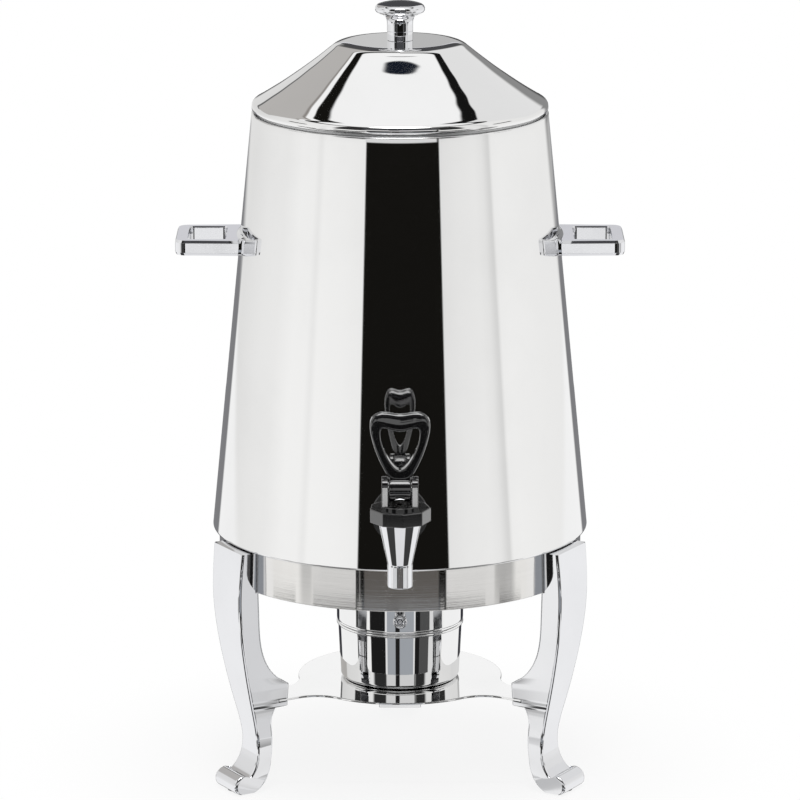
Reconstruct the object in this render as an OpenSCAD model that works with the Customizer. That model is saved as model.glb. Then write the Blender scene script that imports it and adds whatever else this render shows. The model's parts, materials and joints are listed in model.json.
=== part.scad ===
// Hot water urn with a tap, standing in a three-legged frame over a fuel burner.
// Millimetres, +Z up, front (tap) towards -Y, origin on the urn's axis at floor level.

/* [Stand] */
// Height of the support ring's top edge, where the urn rests
stand_h = 177.9; // [165:0.1:195]
// Outer radius of the support ring
ring_r = 128.8; // [122:0.1:136]
// Height of the support ring band
ring_h = 29.7; // [26:0.1:34]
// Sheet thickness of the support ring
ring_t = 1.5; // [1:0.1:2]
// Width of the ring's inward seat lip
ring_lip = 5; // [4:0.5:7]
// Height of the shelf plate's top face above the floor
shelf_z = 65.2; // [60:0.1:72]
// How far the shelf plate's disc lies inside the lugs
shelf_in = 26.3; // [22:0.1:32]
// Thickness of the shelf plate
shelf_t = 1.5; // [1:0.1:3]
// Width of a shelf arm
shelf_arm_w = 26; // [20:0.5:28]
// Fillet between a shelf arm and the disc
shelf_fillet = 26; // [15:1:35]

/* [Legs] */
// Width of a leg at its top
leg_top_w = 42.4; // [34:0.2:48]
// Width of a leg at the shelf
leg_shelf_w = 28; // [24:0.2:32]
// Width of a leg at its ankle
leg_ankle_w = 23.2; // [20:0.2:28]
// Width of a leg at its toe
leg_toe_w = 32.4; // [28:0.2:38]
// Thickness of the leg's pad on the ring
leg_pad_t = 8.7; // [7:0.1:11]
// How far the knee stands out from the ring
knee_out = 11; // [9:0.1:14]
// Height of the knee above the floor
knee_z = 140; // [130:1:150]
// How far the middle of the ankle lies inside the ring's face
ankle_in = 11.9; // [9:0.1:16]
// Thickness of the ankle
ankle_t = 12.6; // [10:0.1:16]
// Height of the ankle above the floor
ankle_z = 38; // [34:0.5:42]
// How far the tip of the toe stands out from the middle of the ankle
toe_out = 26.3; // [22:0.1:32]
// Height of the top of the toe
toe_h = 13.5; // [11:0.1:16]
// How far the inner end of a lug lies inside the ring's face
lug_in = 29.5; // [27:0.1:33]
// Height of the lug
lug_h = 17; // [14:0.5:20]
// Radius of a foot pad
foot_pad_r = 5.5; // [4:0.1:6]
// Thickness of a foot pad
foot_pad_t = 2; // [1.5:0.1:3]

/* [Urn] */
// How far the widest part of the body stands out from the ring
body_overhang = 4.2; // [3:0.1:6]
// How much smaller the body's radius is at its mouth than at its base
body_taper = 28.8; // [20:0.1:38]
// Height of the body from its base to the rim
body_h = 296.5; // [260:0.5:330]
// Sheet thickness of the body
wall = 1; // [0.8:0.1:1.5]
// Radius of the rounded bottom corner
corner_r = 3.5; // [2.5:0.1:5]
// Radius of the rolled rim bead
rim_bead_r = 1.5; // [1.2:0.1:2.2]
// Depth of the base pan below the seat
pan_depth = 8; // [5:0.5:12]

/* [Lid] */
// Height of the lid from its seat to its flat top
lid_rise = 49.8; // [40:0.2:60]
// Height of the lid's edge band
lid_band_h = 6.2; // [5:0.1:8]
// Radius of the lid's flat top
plateau_r = 42; // [34:0.5:48]
// Sag of the lid's hollow slope
lid_sag = 1.7; // [0.5:0.1:3]
// Sheet thickness of the lid
lid_t = 1; // [0.8:0.1:1.5]
// Depth of the lid's plug skirt in the mouth
plug_depth = 14; // [10:0.5:20]

/* [Knob] */
// Radius of the knob's neck
knob_neck_r = 9.05; // [7:0.05:11]
// Radius of the knob's head
knob_head_r = 17.4; // [14:0.1:20]
// Height of the knob
knob_h = 27.5; // [22:0.1:32]
// Length of the knob's straight neck
knob_neck_h = 10; // [7:0.5:12]
// Depth of the knob's rounded head
knob_head_h = 5.5; // [4:0.1:7]

/* [Handles] */
// Height of the handle loop's underside above the seat
handle_up = 200.8; // [180:0.2:220]
// Thickness of the handle loop
handle_t = 9.9; // [8:0.1:12]
// How far the handle's outer end stands out from the body
handle_reach = 43.8; // [38:0.1:50]
// Width of the handle loop
handle_w = 60; // [54:0.5:64]
// Width of the loop's outer bar
handle_bar = 9; // [7:0.5:11]
// Width of the loop's side bars
handle_side = 7; // [6:0.5:9]
// Length of the finger opening
handle_gap = 26; // [22:0.5:28]
// Half angle that the handle's saddle spans on the body
saddle_angle = 28; // [24:1:32]
// Thickness of the saddle
saddle_t = 4; // [3:0.1:6]
// Height of the saddle
saddle_h = 12; // [10:0.2:14]
// How far the saddle's underside lies above the loop's
saddle_up = 4; // [2:0.2:5]

/* [Tap] */
// Height of the tap's shank above the seat
tap_up = 40; // [34:0.5:50]
// Distance of the tap's upright axis from the body wall
tap_reach = 50.6; // [44:0.2:58]
// Radius of the nozzle
nozzle_r = 8.6; // [7.5:0.1:10]
// Length of the nozzle's straight end
nozzle_h = 16; // [12:0.5:20]
// Height of the tap's cone
cone_h = 30; // [26:0.5:34]
// Radius of the cone's top
cone_r = 15; // [13.5:0.1:17]
// Height of the shank's axis above the cone's underside
shank_in_cone = 21; // [18:0.5:22]
// Outer radius of the shank
shank_r = 8; // [7:0.1:8.5]
// Bore radius of the shank and the nozzle
water_bore_r = 5.5; // [4.5:0.1:6]
// Radius of the valve chamber
chamber_r = 8; // [7.5:0.1:8.5]
// Corner radius of the bonnet nut
bonnet_r = 20.9; // [19:0.1:24]
// Height of the bonnet nut
bonnet_h = 9.5; // [8:0.1:12]
// Number of flats on the bonnet nut
bonnet_flats = 9; // [6:1:12]
// Radius of the gasket on the wall
gasket_r = 19.3; // [17:0.1:22]
// Corner radius of the lock nut
lock_nut_r = 14; // [12.5:0.1:16]

/* [Lever] */
// Height of the lever's pin above the bonnet's top
pin_up = 12.5; // [11.5:0.1:15]
// Radius of the lever's pin
pin_r = 1.75; // [1.5:0.05:2.2]
// Radius of the lever's barrel around the pin
barrel_r = 8.5; // [7.5:0.1:9]
// Half width of the lever's barrel
barrel_half = 7.6; // [6.5:0.1:8.5]
// Thickness of an ear on the bonnet
ear_t = 4.5; // [3.5:0.1:6]
// Height of the lever above its pin
lever_h = 53.7; // [46:0.1:60]
// Width of the lever loop at its widest
lever_w = 41.5; // [36:0.1:46]
// Thickness of the lever loop
lever_t = 8.4; // [7:0.1:10]
// Lift of the valve when the lever is pulled
valve_lift = 5; // [4:0.1:5.5]

/* [Burner] */
// Radius of the turning lid band
band_r = 45.4; // [42:0.1:48]
// Height of the burner with its lid
burner_h = 62.8; // [56:0.2:72]
// Height of the lid band
band_h = 24; // [20:0.5:28]
// Sheet thickness of the burner
burner_t = 0.8; // [0.6:0.1:1.2]
// Radius of the cup's rounded foot
cup_foot = 8; // [5:0.5:10]
// Inward slope of the cup's side from band to foot
cup_taper = 1.6; // [0.5:0.1:3]
// Radius of the burner's small knob
burner_knob_r = 5.1; // [4:0.1:6]
// Reach of the small knob from the band
burner_knob_out = 10; // [7:0.5:14]
// Inner radius of the flame windows
window_in_r = 12; // [10:0.5:14]
// Outer radius of the flame windows
window_out_r = 35; // [30:0.5:37]

/* [Fits] */
// Gap between a piece that lifts off and its seat
seat_gap = 0.3; // [0.2:0.05:0.6]
// Radial gap of the pan inside the ring's lip
pan_gap = 0.7; // [0.5:0.1:1.5]
// Radial gap of the lid's skirt inside the rim
plug_gap = 1; // [0.6:0.1:2]
// Radial gap of a shaft that turns or slides in its bore
running_gap = 0.05; // [0.02:0.01:0.1]
// Radial gap of a screw in its threaded hole
thread_gap = 0.04; // [0.02:0.01:0.1]
// Radial gap of a screw in a clearance hole
hole_gap = 0.3; // [0.2:0.05:0.6]
// Gap on each side of the lever between the ears
side_gap = 0.3; // [0.2:0.05:0.6]
// Gap above and below the shelf in its lug slots
slot_gap = 0.1; // [0.05:0.01:0.3]

/* [Hidden] */
$fn = 96;

chrome = [0.86, 0.87, 0.88];
mirror_steel = [0.78, 0.78, 0.79];
satin_steel = [0.62, 0.61, 0.59];
plain_steel = [0.55, 0.56, 0.57];
black = [0.06, 0.06, 0.065];
seal_grey = [0.22, 0.22, 0.23];

// Curve steps: along an arc, a bow or one stretch of a smooth curve
arc_steps = 8;
bow_steps = 12;
curve_steps = 5;
// Overlap of a cutting shape past the face it cuts
past = 1;

// Places of the legs around the axis, measured from +X
leg_angles = [210, 330, 90];
ring_bottom = stand_h - ring_h;
ring_in_r = ring_r - ring_t;
lip_in_r = ring_in_r - ring_lip;
// The legs end just under the urn's edge
leg_top_gap = 0.6;
leg_top_z = stand_h - leg_top_gap;
// The sole stands off the floor by the part of the foot pad that shows
sole_z = 0.6;
leg_ledge = 3.3;
ankle_r = ring_r - ankle_in;
toe_r = ankle_r + toe_out;
lug_r = ring_r - lug_in;
shelf_r = lug_r - shelf_in;
// The lug's lower jaw, under the shelf
lug_jaw = 3.7;
lug_bottom = shelf_z - shelf_t - lug_jaw;
slot_depth = 6.7;
slot_floor_gap = 0.3;
// Screws: shank radius, head radius, head height
screw_r = 2;
screw_head_r = 3.6;
screw_head_h = 2.6;
washer_r = 4.5;
washer_t = 0.8;
// A flat washer keeps this clear of the ring's curved inside
washer_set = 0.12;
ring_screw_span = 14;
ring_screw_z = stand_h - ring_h / 2 - 1;
ring_screw_in_leg = 6.5;
shelf_screw_in_lug = 11;
shelf_screw_r = lug_r + slot_depth / 2;
// Share of the toe's reach at which the foot pad's middle lies
foot_pad_share = 0.673;
foot_pad_at = ankle_r + foot_pad_share * toe_out;

// The body's slope and radius at a height above the floor
body_base_r = ring_r + body_overhang;
mouth_r = body_base_r - body_taper;
wall_z = stand_h + corner_r;
rim_z = stand_h + body_h;
body_slope = (body_base_r - mouth_r) / (rim_z - wall_z);
wall_tilt = atan(body_slope);
function body_r(z) = body_base_r - (z - wall_z) * body_slope;

base_flat_r = body_base_r - corner_r;
pan_r = lip_in_r - pan_gap;
pan_flange_gap = 0.4;
flange_in_r = pan_r + pan_flange_gap;
pan_flange_r = base_flat_r - wall;
bead_mid_r = mouth_r - wall / 2;
bead_in_r = bead_mid_r - rim_bead_r;

lid_seat_z = rim_z + rim_bead_r + seat_gap;
lid_inset = 0.2;
lid_r = mouth_r - lid_inset;
plug_r = bead_in_r - plug_gap;
plug_t = 1;
plug_in_hem = 4;
plateau_z = lid_seat_z + lid_rise;
band_top_z = lid_seat_z + lid_band_h;
knob_thread_r = 2.5;
knob_thread_h = 14;
knob_screw_in = 11;
knob_washer_r = 9;
knob_washer_t = 1.2;
knob_top_z = plateau_z + knob_h;

handle_z = stand_h + handle_up;
handle_end_r = body_r(handle_z) + handle_reach;
saddle_z = handle_z + saddle_up;
handle_corner_r = 5;
gap_corner_r = 3;
handle_draft = 1.2;
handle_fillet = 7;
handle_screw_angle = 9;
handle_screw_z = (saddle_z + handle_z + handle_t) / 2;
handle_screw_in = 6;
backing_t = 1.5;
backing_gap = 0.05;
backing_angle = 15;
backing_h = 12;
backing_z = handle_screw_z - backing_h / 2;
backing_top = backing_z + backing_h;
function backing_r(z) = body_r(z) - wall - backing_gap;

tap_z = stand_h + tap_up;
tap_y = -body_r(tap_z) - tap_reach;
wall_y = -body_r(tap_z);
cone_z = tap_z - shank_in_cone;
nozzle_z = cone_z - nozzle_h;
bonnet_z = cone_z + cone_h;
bonnet_top = bonnet_z + bonnet_h;
// Turns the nut so that one corner lies a little right of the front
bonnet_turn = -84;
neck_r = 13.5;
neck_h = 5.4;
seal_t = 1;
seat_cup_gap = 1;
seal_in_r = chamber_r + seat_cup_gap;
ceiling_z = bonnet_z + neck_h + seal_t;
// Height of the valve seat above the cone's underside
seat_up = 8;
chamber_z = cone_z + seat_up;
gasket_out_t = 3.6;
gasket_in_t = 6;
collar_r = 13;
collar_t = 4;
lock_nut_t = 7;
shank_past_nut = 6;
shank_hole_gap = 0.5;
gasket_front = wall_y - gasket_out_t;
gasket_back = wall_y + wall + gasket_in_t;
lock_nut_back = gasket_back + lock_nut_t;
shank_end = lock_nut_back + shank_past_nut;

pin_z = bonnet_top + pin_up;
boss_h = 2;
ear_in = barrel_half + side_gap;
ear_out = ear_in + ear_t;
ear_r = barrel_r - 0.5;
boss_r = ear_out;
lever_slot_half = 3;
lever_slot_roof = 2.6;
stem_r = 2.4;
// The lifted stem still clears the roof of the tilted lever's slot
stem_room = 5.5;
stem_top = pin_z - stem_room - valve_lift;
cup_z = chamber_z + seat_gap;
cup_h = 5.7;
cup_r = chamber_r - seat_cup_gap;
stem_in_cup = 3.4;
spring_r = 5.2;
spring_wire_r = 0.6;
spring_turns = 6;
spring_end_gap = 0.15;
spring_z = cup_z + cup_h + spring_end_gap;
spring_h = ceiling_z - spring_end_gap - spring_z;

burner_gap = 0.2;
burner_z = shelf_z + burner_gap;
burner_top = burner_z + burner_h;
band_z = burner_top - band_h;
band_in_r = band_r - burner_t;
cup_wall_gap = 0.4;
burner_cup_r = band_in_r - cup_wall_gap;
burner_rim_z = burner_top - burner_t - seat_gap;
flame_plate_drop = 4;
flame_plate_z = burner_rim_z - flame_plate_drop;
flame_plate_gap = 0.03;
window_count = 3;
window_angle = 56;
burner_knob_drop = 9;
burner_knob_z = burner_top - burner_knob_drop;
burner_knob_neck_r = 2;

// Points on an arc, on a three-point bow and on a smooth curve through points
function arc(c, r, from, to) =
    [for (i = [0:arc_steps]) c + r * [cos(from + (to - from) * i / arc_steps),
        sin(from + (to - from) * i / arc_steps)]];
function bow(a, b, c) =
    [for (i = [0:bow_steps]) let (t = i / bow_steps)
        (1 - t) * (1 - t) * a + 2 * t * (1 - t) * b + t * t * c];
function blend(a, b, c, d, t) = 0.5 * (2 * b + (c - a) * t
    + (2 * a - 5 * b + 4 * c - d) * t * t + (3 * b - a - 3 * c + d) * t * t * t);
function smooth(p) = [for (i = [0:len(p) - 2]) for (s = [0:curve_steps - 1])
        blend(p[max(i - 1, 0)], p[i], p[i + 1], p[min(i + 2, len(p) - 1)], s / curve_steps),
    p[len(p) - 1]];
function mirrored(p) = [for (i = [len(p) - 1:-1:0]) [-p[i][0], p[i][1]]];

// A rounded corner at b between a and c, drawn with radius r
function rounded_corner(a, b, c, r) =
    let (u = (a - b) / norm(a - b), v = (c - b) / norm(c - b))
    let (half = acos(u * v) / 2, m = b + (u + v) / norm(u + v) * r / sin(half))
    let (s = b + u * r / tan(half) - m, e = b + v * r / tan(half) - m)
    let (from = atan2(s[1], s[0]), turn = atan2(s[0] * e[1] - s[1] * e[0], s * e))
    arc(m, r, from, from + turn);
function rounded(p, r) = [for (i = [0:len(p) - 1])
    each rounded_corner(p[(i + len(p) - 1) % len(p)], p[i], p[(i + 1) % len(p)], r)];

// Places a piece, drawn along +X, at each leg
module at_legs() {
    for (a = leg_angles)
        rotate([0, 0, a])
            children();
}

// Places a screw, drawn along +Z, along +X at a radius and height
module along_radius(r, z) {
    translate([r, 0, z])
        rotate([0, 90, 0])
            children();
}

// Places a piece, drawn along +Z, along -Y from a point on the tap's shank
module along_shank(y) {
    translate([0, y, tap_z])
        rotate([90, 0, 0])
            children();
}

// Pan-head screw with its head below z = 0 and its shank above
module screw(r, head_r, head_h, length) {
    translate([0, 0, -head_h])
        cylinder(r = head_r, h = head_h);
    cylinder(r = r, h = length);
}

module tube(r, bore_r, h) {
    difference() {
        cylinder(r = r, h = h);
        translate([0, 0, -past])
            cylinder(r = bore_r, h = h + 2 * past);
    }
}

// Both sides of the fillet between an arm along +X and a disc around the origin
module arm_fillets(disc_r, arm_w, r) {
    side = arm_w / 2 + r;
    out = sqrt((disc_r + r) * (disc_r + r) - side * side);
    for (s = [-1, 1])
        difference() {
            polygon([[0, 0], [out, 0], [out, s * side]]);
            translate([out, s * side])
                circle(r = r);
        }
}

// The body's cone as a solid, set in from the outer face
module body_cone(inset) {
    translate([0, 0, stand_h - past])
        cylinder(r1 = body_r(stand_h - past) - inset, r2 = body_r(rim_z) - inset,
            h = rim_z - stand_h + past, $fn = 4 * $fn);
}

// Stand
module support_ring() {
    color(satin_steel)
        difference() {
            rotate_extrude()
                polygon([[ring_in_r, ring_bottom], [ring_r, ring_bottom], [ring_r, stand_h],
                    [lip_in_r, stand_h], [lip_in_r, stand_h - ring_t],
                    [ring_in_r, stand_h - ring_t]]);
            at_legs()
                for (s = [-0.5, 0.5])
                    along_radius(lip_in_r, ring_screw_z + s * ring_screw_span)
                        cylinder(r = screw_r + hole_gap, h = ring_lip + ring_t + past);
        }
}

leg_outer = smooth([
    [ring_r + leg_pad_t, leg_top_z],
    [ring_r + knee_out, knee_z],
    [(ring_r + knee_out + ankle_r + ankle_t / 2) / 2 + 2.9, (knee_z + ankle_z) / 2],
    [ankle_r + ankle_t / 2, ankle_z],
    [ankle_r + 0.354 * toe_out, toe_h + 9],
    [ankle_r + 0.726 * toe_out, toe_h],
    [toe_r, toe_h - 8.5],
    [ankle_r + 0.924 * toe_out, sole_z]]);
leg_heel = smooth([
    [ankle_r + 0.384 * toe_out, sole_z],
    [ankle_r + 0.194 * toe_out, sole_z + 2.8],
    [ankle_r - 0.4, toe_h - 3],
    [ankle_r - 4.6, toe_h + 10.5],
    [ankle_r - ankle_t / 2, ankle_z],
    [ankle_r - 5.9, lug_bottom - 7],
    [ankle_r - 8.4, lug_bottom]]);
leg_inner = smooth([
    [lug_r, lug_bottom + lug_h],
    [lug_r + 8.7, lug_bottom + lug_h + 5.5],
    [lug_r + 19.2, lug_bottom + lug_h + 19],
    [ring_r - 5.6, lug_bottom + lug_h + 36],
    [ring_r - 4.2, lug_bottom + lug_h + 53],
    [ring_r - leg_ledge, ring_bottom]]);
leg_side = concat(leg_outer, leg_heel, [[lug_r, lug_bottom]], leg_inner,
    [[ring_r - leg_ledge, leg_top_z]]);
leg_half = smooth([
    [leg_top_w / 2, leg_top_z + past],
    [leg_shelf_w / 2, shelf_z],
    [leg_ankle_w / 2, ankle_z - 4],
    [leg_toe_w / 2, toe_h - 6],
    [leg_toe_w / 2, -past]]);

// A cast leg along +X: its side outline, narrowed by its front outline
module leg_casting() {
    difference() {
        intersection() {
            rotate([90, 0, 0])
                linear_extrude(height = leg_top_w + leg_toe_w, center = true)
                    polygon(leg_side);
            rotate([90, 0, 90])
                linear_extrude(height = toe_r + past)
                    polygon(concat(leg_half, mirrored(leg_half)));
        }
        translate([0, 0, ring_bottom])
            cylinder(r = ring_r, h = stand_h);
        translate([lug_r - past, -leg_top_w, shelf_z - shelf_t - slot_gap])
            cube([slot_depth + slot_floor_gap + past, 2 * leg_top_w, shelf_t + 2 * slot_gap]);
        for (s = [-0.5, 0.5])
            along_radius(ring_r - past, ring_screw_z + s * ring_screw_span)
                cylinder(r = screw_r + thread_gap, h = ring_screw_in_leg + past);
        translate([shelf_screw_r, 0, lug_bottom - past])
            cylinder(r = screw_r + thread_gap, h = shelf_screw_in_lug + past);
        translate([foot_pad_at, 0, 0])
            cylinder(r = foot_pad_r, h = foot_pad_t);
    }
}

module leg_front_left() {
    color(chrome)
        rotate([0, 0, leg_angles[0]])
            leg_casting();
}

module leg_front_right() {
    color(chrome)
        rotate([0, 0, leg_angles[1]])
            leg_casting();
}

module leg_rear() {
    color(chrome)
        rotate([0, 0, leg_angles[2]])
            leg_casting();
}

module leg_screws() {
    color(plain_steel)
        at_legs()
            for (s = [-0.5, 0.5])
                along_radius(ring_in_r - washer_set - washer_t, ring_screw_z + s * ring_screw_span)
                    screw(screw_r, screw_head_r, screw_head_h,
                        washer_t + washer_set + ring_t + ring_screw_in_leg - thread_gap);
}

module leg_washers() {
    color(plain_steel)
        at_legs()
            for (s = [-0.5, 0.5])
                along_radius(ring_in_r - washer_set - washer_t, ring_screw_z + s * ring_screw_span)
                    tube(washer_r, screw_r + thread_gap, washer_t);
}

module foot_pads() {
    color(seal_grey)
        at_legs()
            translate([foot_pad_at, 0, 0])
                cylinder(r = foot_pad_r, h = foot_pad_t);
}

// One arm of the shelf along +X and the fillets that lead into it from the disc
shelf_side = shelf_arm_w / 2 + shelf_fillet;
shelf_out = sqrt(pow(shelf_r + shelf_fillet, 2) - shelf_side * shelf_side);
shelf_turn = atan2(shelf_side, shelf_out);
shelf_arm_end = lug_r + slot_depth;
shelf_arm = concat(
    arc([shelf_out, -shelf_side], shelf_fillet, 180 - shelf_turn, 90),
    [[shelf_arm_end, -shelf_arm_w / 2], [shelf_arm_end, shelf_arm_w / 2]],
    arc([shelf_out, shelf_side], shelf_fillet, -90, -180 + shelf_turn));
shelf_disc = arc([0, 0], shelf_r, shelf_turn, 120 - shelf_turn);

module shelf_plate() {
    color(mirror_steel)
        translate([0, 0, shelf_z - shelf_t])
            linear_extrude(height = shelf_t)
                difference() {
                    polygon([for (a = [90, 210, 330], p = concat(shelf_arm, shelf_disc))
                        [p[0] * cos(a) - p[1] * sin(a), p[0] * sin(a) + p[1] * cos(a)]]);
                    for (a = leg_angles)
                        rotate(a)
                            translate([shelf_screw_r, 0])
                                circle(r = screw_r + hole_gap);
                }
}

module shelf_screws() {
    color(plain_steel)
        at_legs()
            translate([shelf_screw_r, 0, lug_bottom])
                screw(screw_r, screw_head_r, screw_head_h, shelf_screw_in_lug - thread_gap);
}

// Urn
module urn_shell() {
    color(mirror_steel)
        difference() {
            rotate_extrude() {
                polygon(concat(
                    [[flange_in_r, stand_h]],
                    arc([base_flat_r, wall_z], corner_r, -90, 0),
                    [[mouth_r, rim_z], [mouth_r - wall, rim_z]],
                    arc([base_flat_r, wall_z], corner_r - wall, 0, -90),
                    [[flange_in_r, stand_h + wall]]));
                translate([bead_mid_r, rim_z])
                    circle(r = rim_bead_r);
            }
            along_shank(0)
                cylinder(r = shank_r + shank_hole_gap, h = 2 * body_base_r);
            handle_screw_places()
                translate([0, 0, -past])
                    cylinder(r = screw_r + hole_gap, h = 2 * wall + 2 * past + backing_t);
        }
}

module urn_base() {
    pan_z = stand_h - pan_depth;
    flange_z = stand_h + wall;
    color(plain_steel)
        rotate_extrude()
            polygon([[0, pan_z], [pan_r, pan_z], [pan_r, flange_z], [pan_flange_r, flange_z],
                [pan_flange_r, flange_z + wall], [pan_r - wall, flange_z + wall],
                [pan_r - wall, pan_z + wall], [0, pan_z + wall]]);
}

// Starts of the four handle screws on the inner wall, square to the wall
module handle_screw_places() {
    for (side = [0, 180], s = [-1, 1])
        rotate([0, 0, side + s * handle_screw_angle])
            translate([body_r(handle_screw_z) - wall, 0, handle_screw_z])
                rotate([0, 90 - wall_tilt, 0])
                    children();
}

// Handle on the +X side: a loop with a finger opening on a saddle that hugs the body
module handle_casting() {
    near = handle_w / 2 + handle_draft;
    far = handle_w / 2 - handle_draft;
    gap_far = handle_end_r - handle_bar;
    gap_near = gap_far - handle_gap;
    gap_half = handle_w / 2 - handle_side;
    hug_r = body_r(handle_z) + saddle_t;
    difference() {
        union() {
            translate([0, 0, handle_z])
                linear_extrude(height = handle_t)
                    difference() {
                        union() {
                            polygon(concat([[0, -near]],
                                rounded_corner([0, -near], [handle_end_r, -far],
                                    [handle_end_r, far], handle_corner_r),
                                rounded_corner([handle_end_r, -far], [handle_end_r, far],
                                    [0, near], handle_corner_r),
                                [[0, near]]));
                            arm_fillets(hug_r, handle_w, handle_fillet);
                        }
                        polygon(rounded([[gap_near, -gap_half], [gap_far, -gap_half],
                            [gap_far, gap_half], [gap_near, gap_half]], gap_corner_r));
                    }
            rotate([0, 0, -saddle_angle])
                rotate_extrude(angle = 2 * saddle_angle)
                    polygon([[0, saddle_z], [body_r(saddle_z) + saddle_t, saddle_z],
                        [body_r(saddle_z + saddle_h) + saddle_t, saddle_z + saddle_h],
                        [0, saddle_z + saddle_h]]);
        }
        body_cone(0);
        handle_screw_places()
            cylinder(r = screw_r + thread_gap, h = wall + handle_screw_in);
    }
}

module handle_right() {
    color(chrome)
        handle_casting();
}

module handle_left() {
    color(chrome)
        mirror([1, 0, 0])
            handle_casting();
}

module handle_backings() {
    color(plain_steel)
        difference() {
            for (side = [0, 180])
                rotate([0, 0, side - backing_angle])
                    rotate_extrude(angle = 2 * backing_angle)
                        polygon([[backing_r(backing_z) - backing_t, backing_z],
                            [backing_r(backing_z), backing_z],
                            [backing_r(backing_top), backing_top],
                            [backing_r(backing_top) - backing_t, backing_top]]);
            handle_screw_places()
                translate([0, 0, -backing_t - 2 * past])
                    cylinder(r = screw_r + hole_gap, h = backing_t + wall + 2 * past);
        }
}

module handle_screws() {
    color(plain_steel)
        handle_screw_places()
            translate([0, 0, -backing_gap - backing_t - washer_set])
                screw(screw_r, screw_head_r, screw_head_h,
                    backing_gap + backing_t + washer_set + wall + handle_screw_in - thread_gap);
}

// Tap
module tap_body() {
    color(chrome)
        difference() {
            union() {
                translate([0, tap_y, 0])
                    rotate_extrude()
                        polygon([[0, nozzle_z], [nozzle_r, nozzle_z], [nozzle_r, cone_z],
                            [cone_r, bonnet_z], [neck_r, bonnet_z],
                            [neck_r, bonnet_z + neck_h], [0, bonnet_z + neck_h]]);
                along_shank(shank_end)
                    cylinder(r = shank_r, h = shank_end - tap_y);
            }
            translate([0, tap_y, chamber_z])
                cylinder(r = chamber_r, h = bonnet_z + neck_h - chamber_z + past);
            translate([0, tap_y, nozzle_z - past])
                cylinder(r = water_bore_r, h = chamber_z - nozzle_z + 2 * past);
            along_shank(shank_end + past)
                cylinder(r = water_bore_r, h = shank_end + past - tap_y);
        }
}

module tap_collar() {
    color(chrome)
        along_shank(gasket_front)
            tube(collar_r, shank_r + thread_gap, collar_t);
}

module tap_outer_gasket() {
    color(black)
        difference() {
            along_shank(wall_y + gasket_out_t)
                tube(gasket_r, shank_r + thread_gap, 2 * gasket_out_t);
            body_cone(0);
        }
}

module tap_inner_gasket() {
    color(seal_grey)
        intersection() {
            along_shank(gasket_back)
                tube(lock_nut_r, shank_r + thread_gap, 2 * gasket_in_t);
            body_cone(wall);
        }
}

module tap_lock_nut() {
    color(plain_steel)
        along_shank(lock_nut_back)
            difference() {
                cylinder(r = lock_nut_r, h = lock_nut_t, $fn = 6);
                translate([0, 0, -past])
                    cylinder(r = shank_r + thread_gap, h = lock_nut_t + 2 * past);
            }
}

module tap_bonnet() {
    color(black)
        translate([0, tap_y, 0])
            difference() {
                union() {
                    translate([0, 0, bonnet_z])
                        rotate([0, 0, bonnet_turn])
                            cylinder(r = bonnet_r, h = bonnet_h, $fn = bonnet_flats);
                    translate([0, 0, bonnet_top])
                        cylinder(r = boss_r, h = boss_h);
                    for (s = [-1, 1])
                        translate([s * (ear_in + ear_out) / 2 - ear_t / 2, 0, 0]) {
                            translate([0, -ear_r, bonnet_top])
                                cube([ear_t, 2 * ear_r, pin_up]);
                            along_radius(0, pin_z)
                                cylinder(r = ear_r, h = ear_t);
                        }
                }
                translate([0, 0, bonnet_z - past])
                    cylinder(r = neck_r + thread_gap, h = ceiling_z - bonnet_z + past);
                translate([0, 0, bonnet_z])
                    cylinder(r = stem_r + running_gap, h = bonnet_h + pin_up);
                along_radius(-ear_out - past, pin_z)
                    cylinder(r = pin_r + thread_gap, h = 2 * ear_out + 2 * past);
            }
}

module bonnet_seal() {
    color(seal_grey)
        translate([0, tap_y, bonnet_z + neck_h])
            tube(neck_r, seal_in_r, seal_t);
}

module lever_pin() {
    color(plain_steel)
        translate([0, tap_y, 0])
            along_radius(-ear_out, pin_z)
                cylinder(r = pin_r, h = 2 * ear_out);
}

// Half outlines of the lever loop, from the pin upwards
lever_foot = barrel_r + side_gap;
lever_outer = smooth([
    [0, lever_h - 1.6],
    [lever_w / 2 - 12.5, lever_h - 0.2],
    [lever_w / 2 - 4.5, lever_h - 1.8],
    [lever_w / 2, lever_h - 9.5],
    [lever_w / 2 - 2.6, lever_h - 19.5],
    [lever_w / 2 - 7.2, lever_h - 33],
    [barrel_half + 2.8, lever_foot + 0.4]]);
lever_inner = smooth([
    [0, lever_h - 14.6],
    [lever_w / 2 - 12.6, lever_h - 13.4],
    [lever_w / 2 - 7.6, lever_h - 14.6],
    [lever_w / 2 - 7.2, lever_h - 19],
    [lever_w / 2 - 10, lever_h - 28],
    [4.4, lever_h - 38.6],
    [0, lever_h - 40]]);

module tap_lever() {
    color(black)
        translate([0, tap_y, pin_z])
            difference() {
                union() {
                    rotate([90, 0, 0])
                        linear_extrude(height = lever_t, center = true)
                            difference() {
                                polygon(concat(lever_outer, mirrored(lever_outer)));
                                polygon(concat(lever_inner, mirrored(lever_inner)));
                            }
                    translate([-barrel_half, -lever_t / 2, 0])
                        cube([2 * barrel_half, lever_t, lever_foot + 2]);
                    along_radius(-barrel_half, 0)
                        cylinder(r = barrel_r, h = 2 * barrel_half);
                }
                along_radius(-barrel_half - past, 0)
                    cylinder(r = pin_r + running_gap, h = 2 * barrel_half + 2 * past);
                translate([-lever_slot_half, -barrel_r - past, -barrel_r - past])
                    cube([2 * lever_slot_half, 2 * (barrel_r + past),
                        barrel_r + past - lever_slot_roof]);
            }
}

module valve_stem() {
    color(plain_steel)
        translate([0, tap_y, cup_z + cup_h - stem_in_cup])
            cylinder(r = stem_r, h = stem_top - cup_z - cup_h + stem_in_cup);
}

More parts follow.
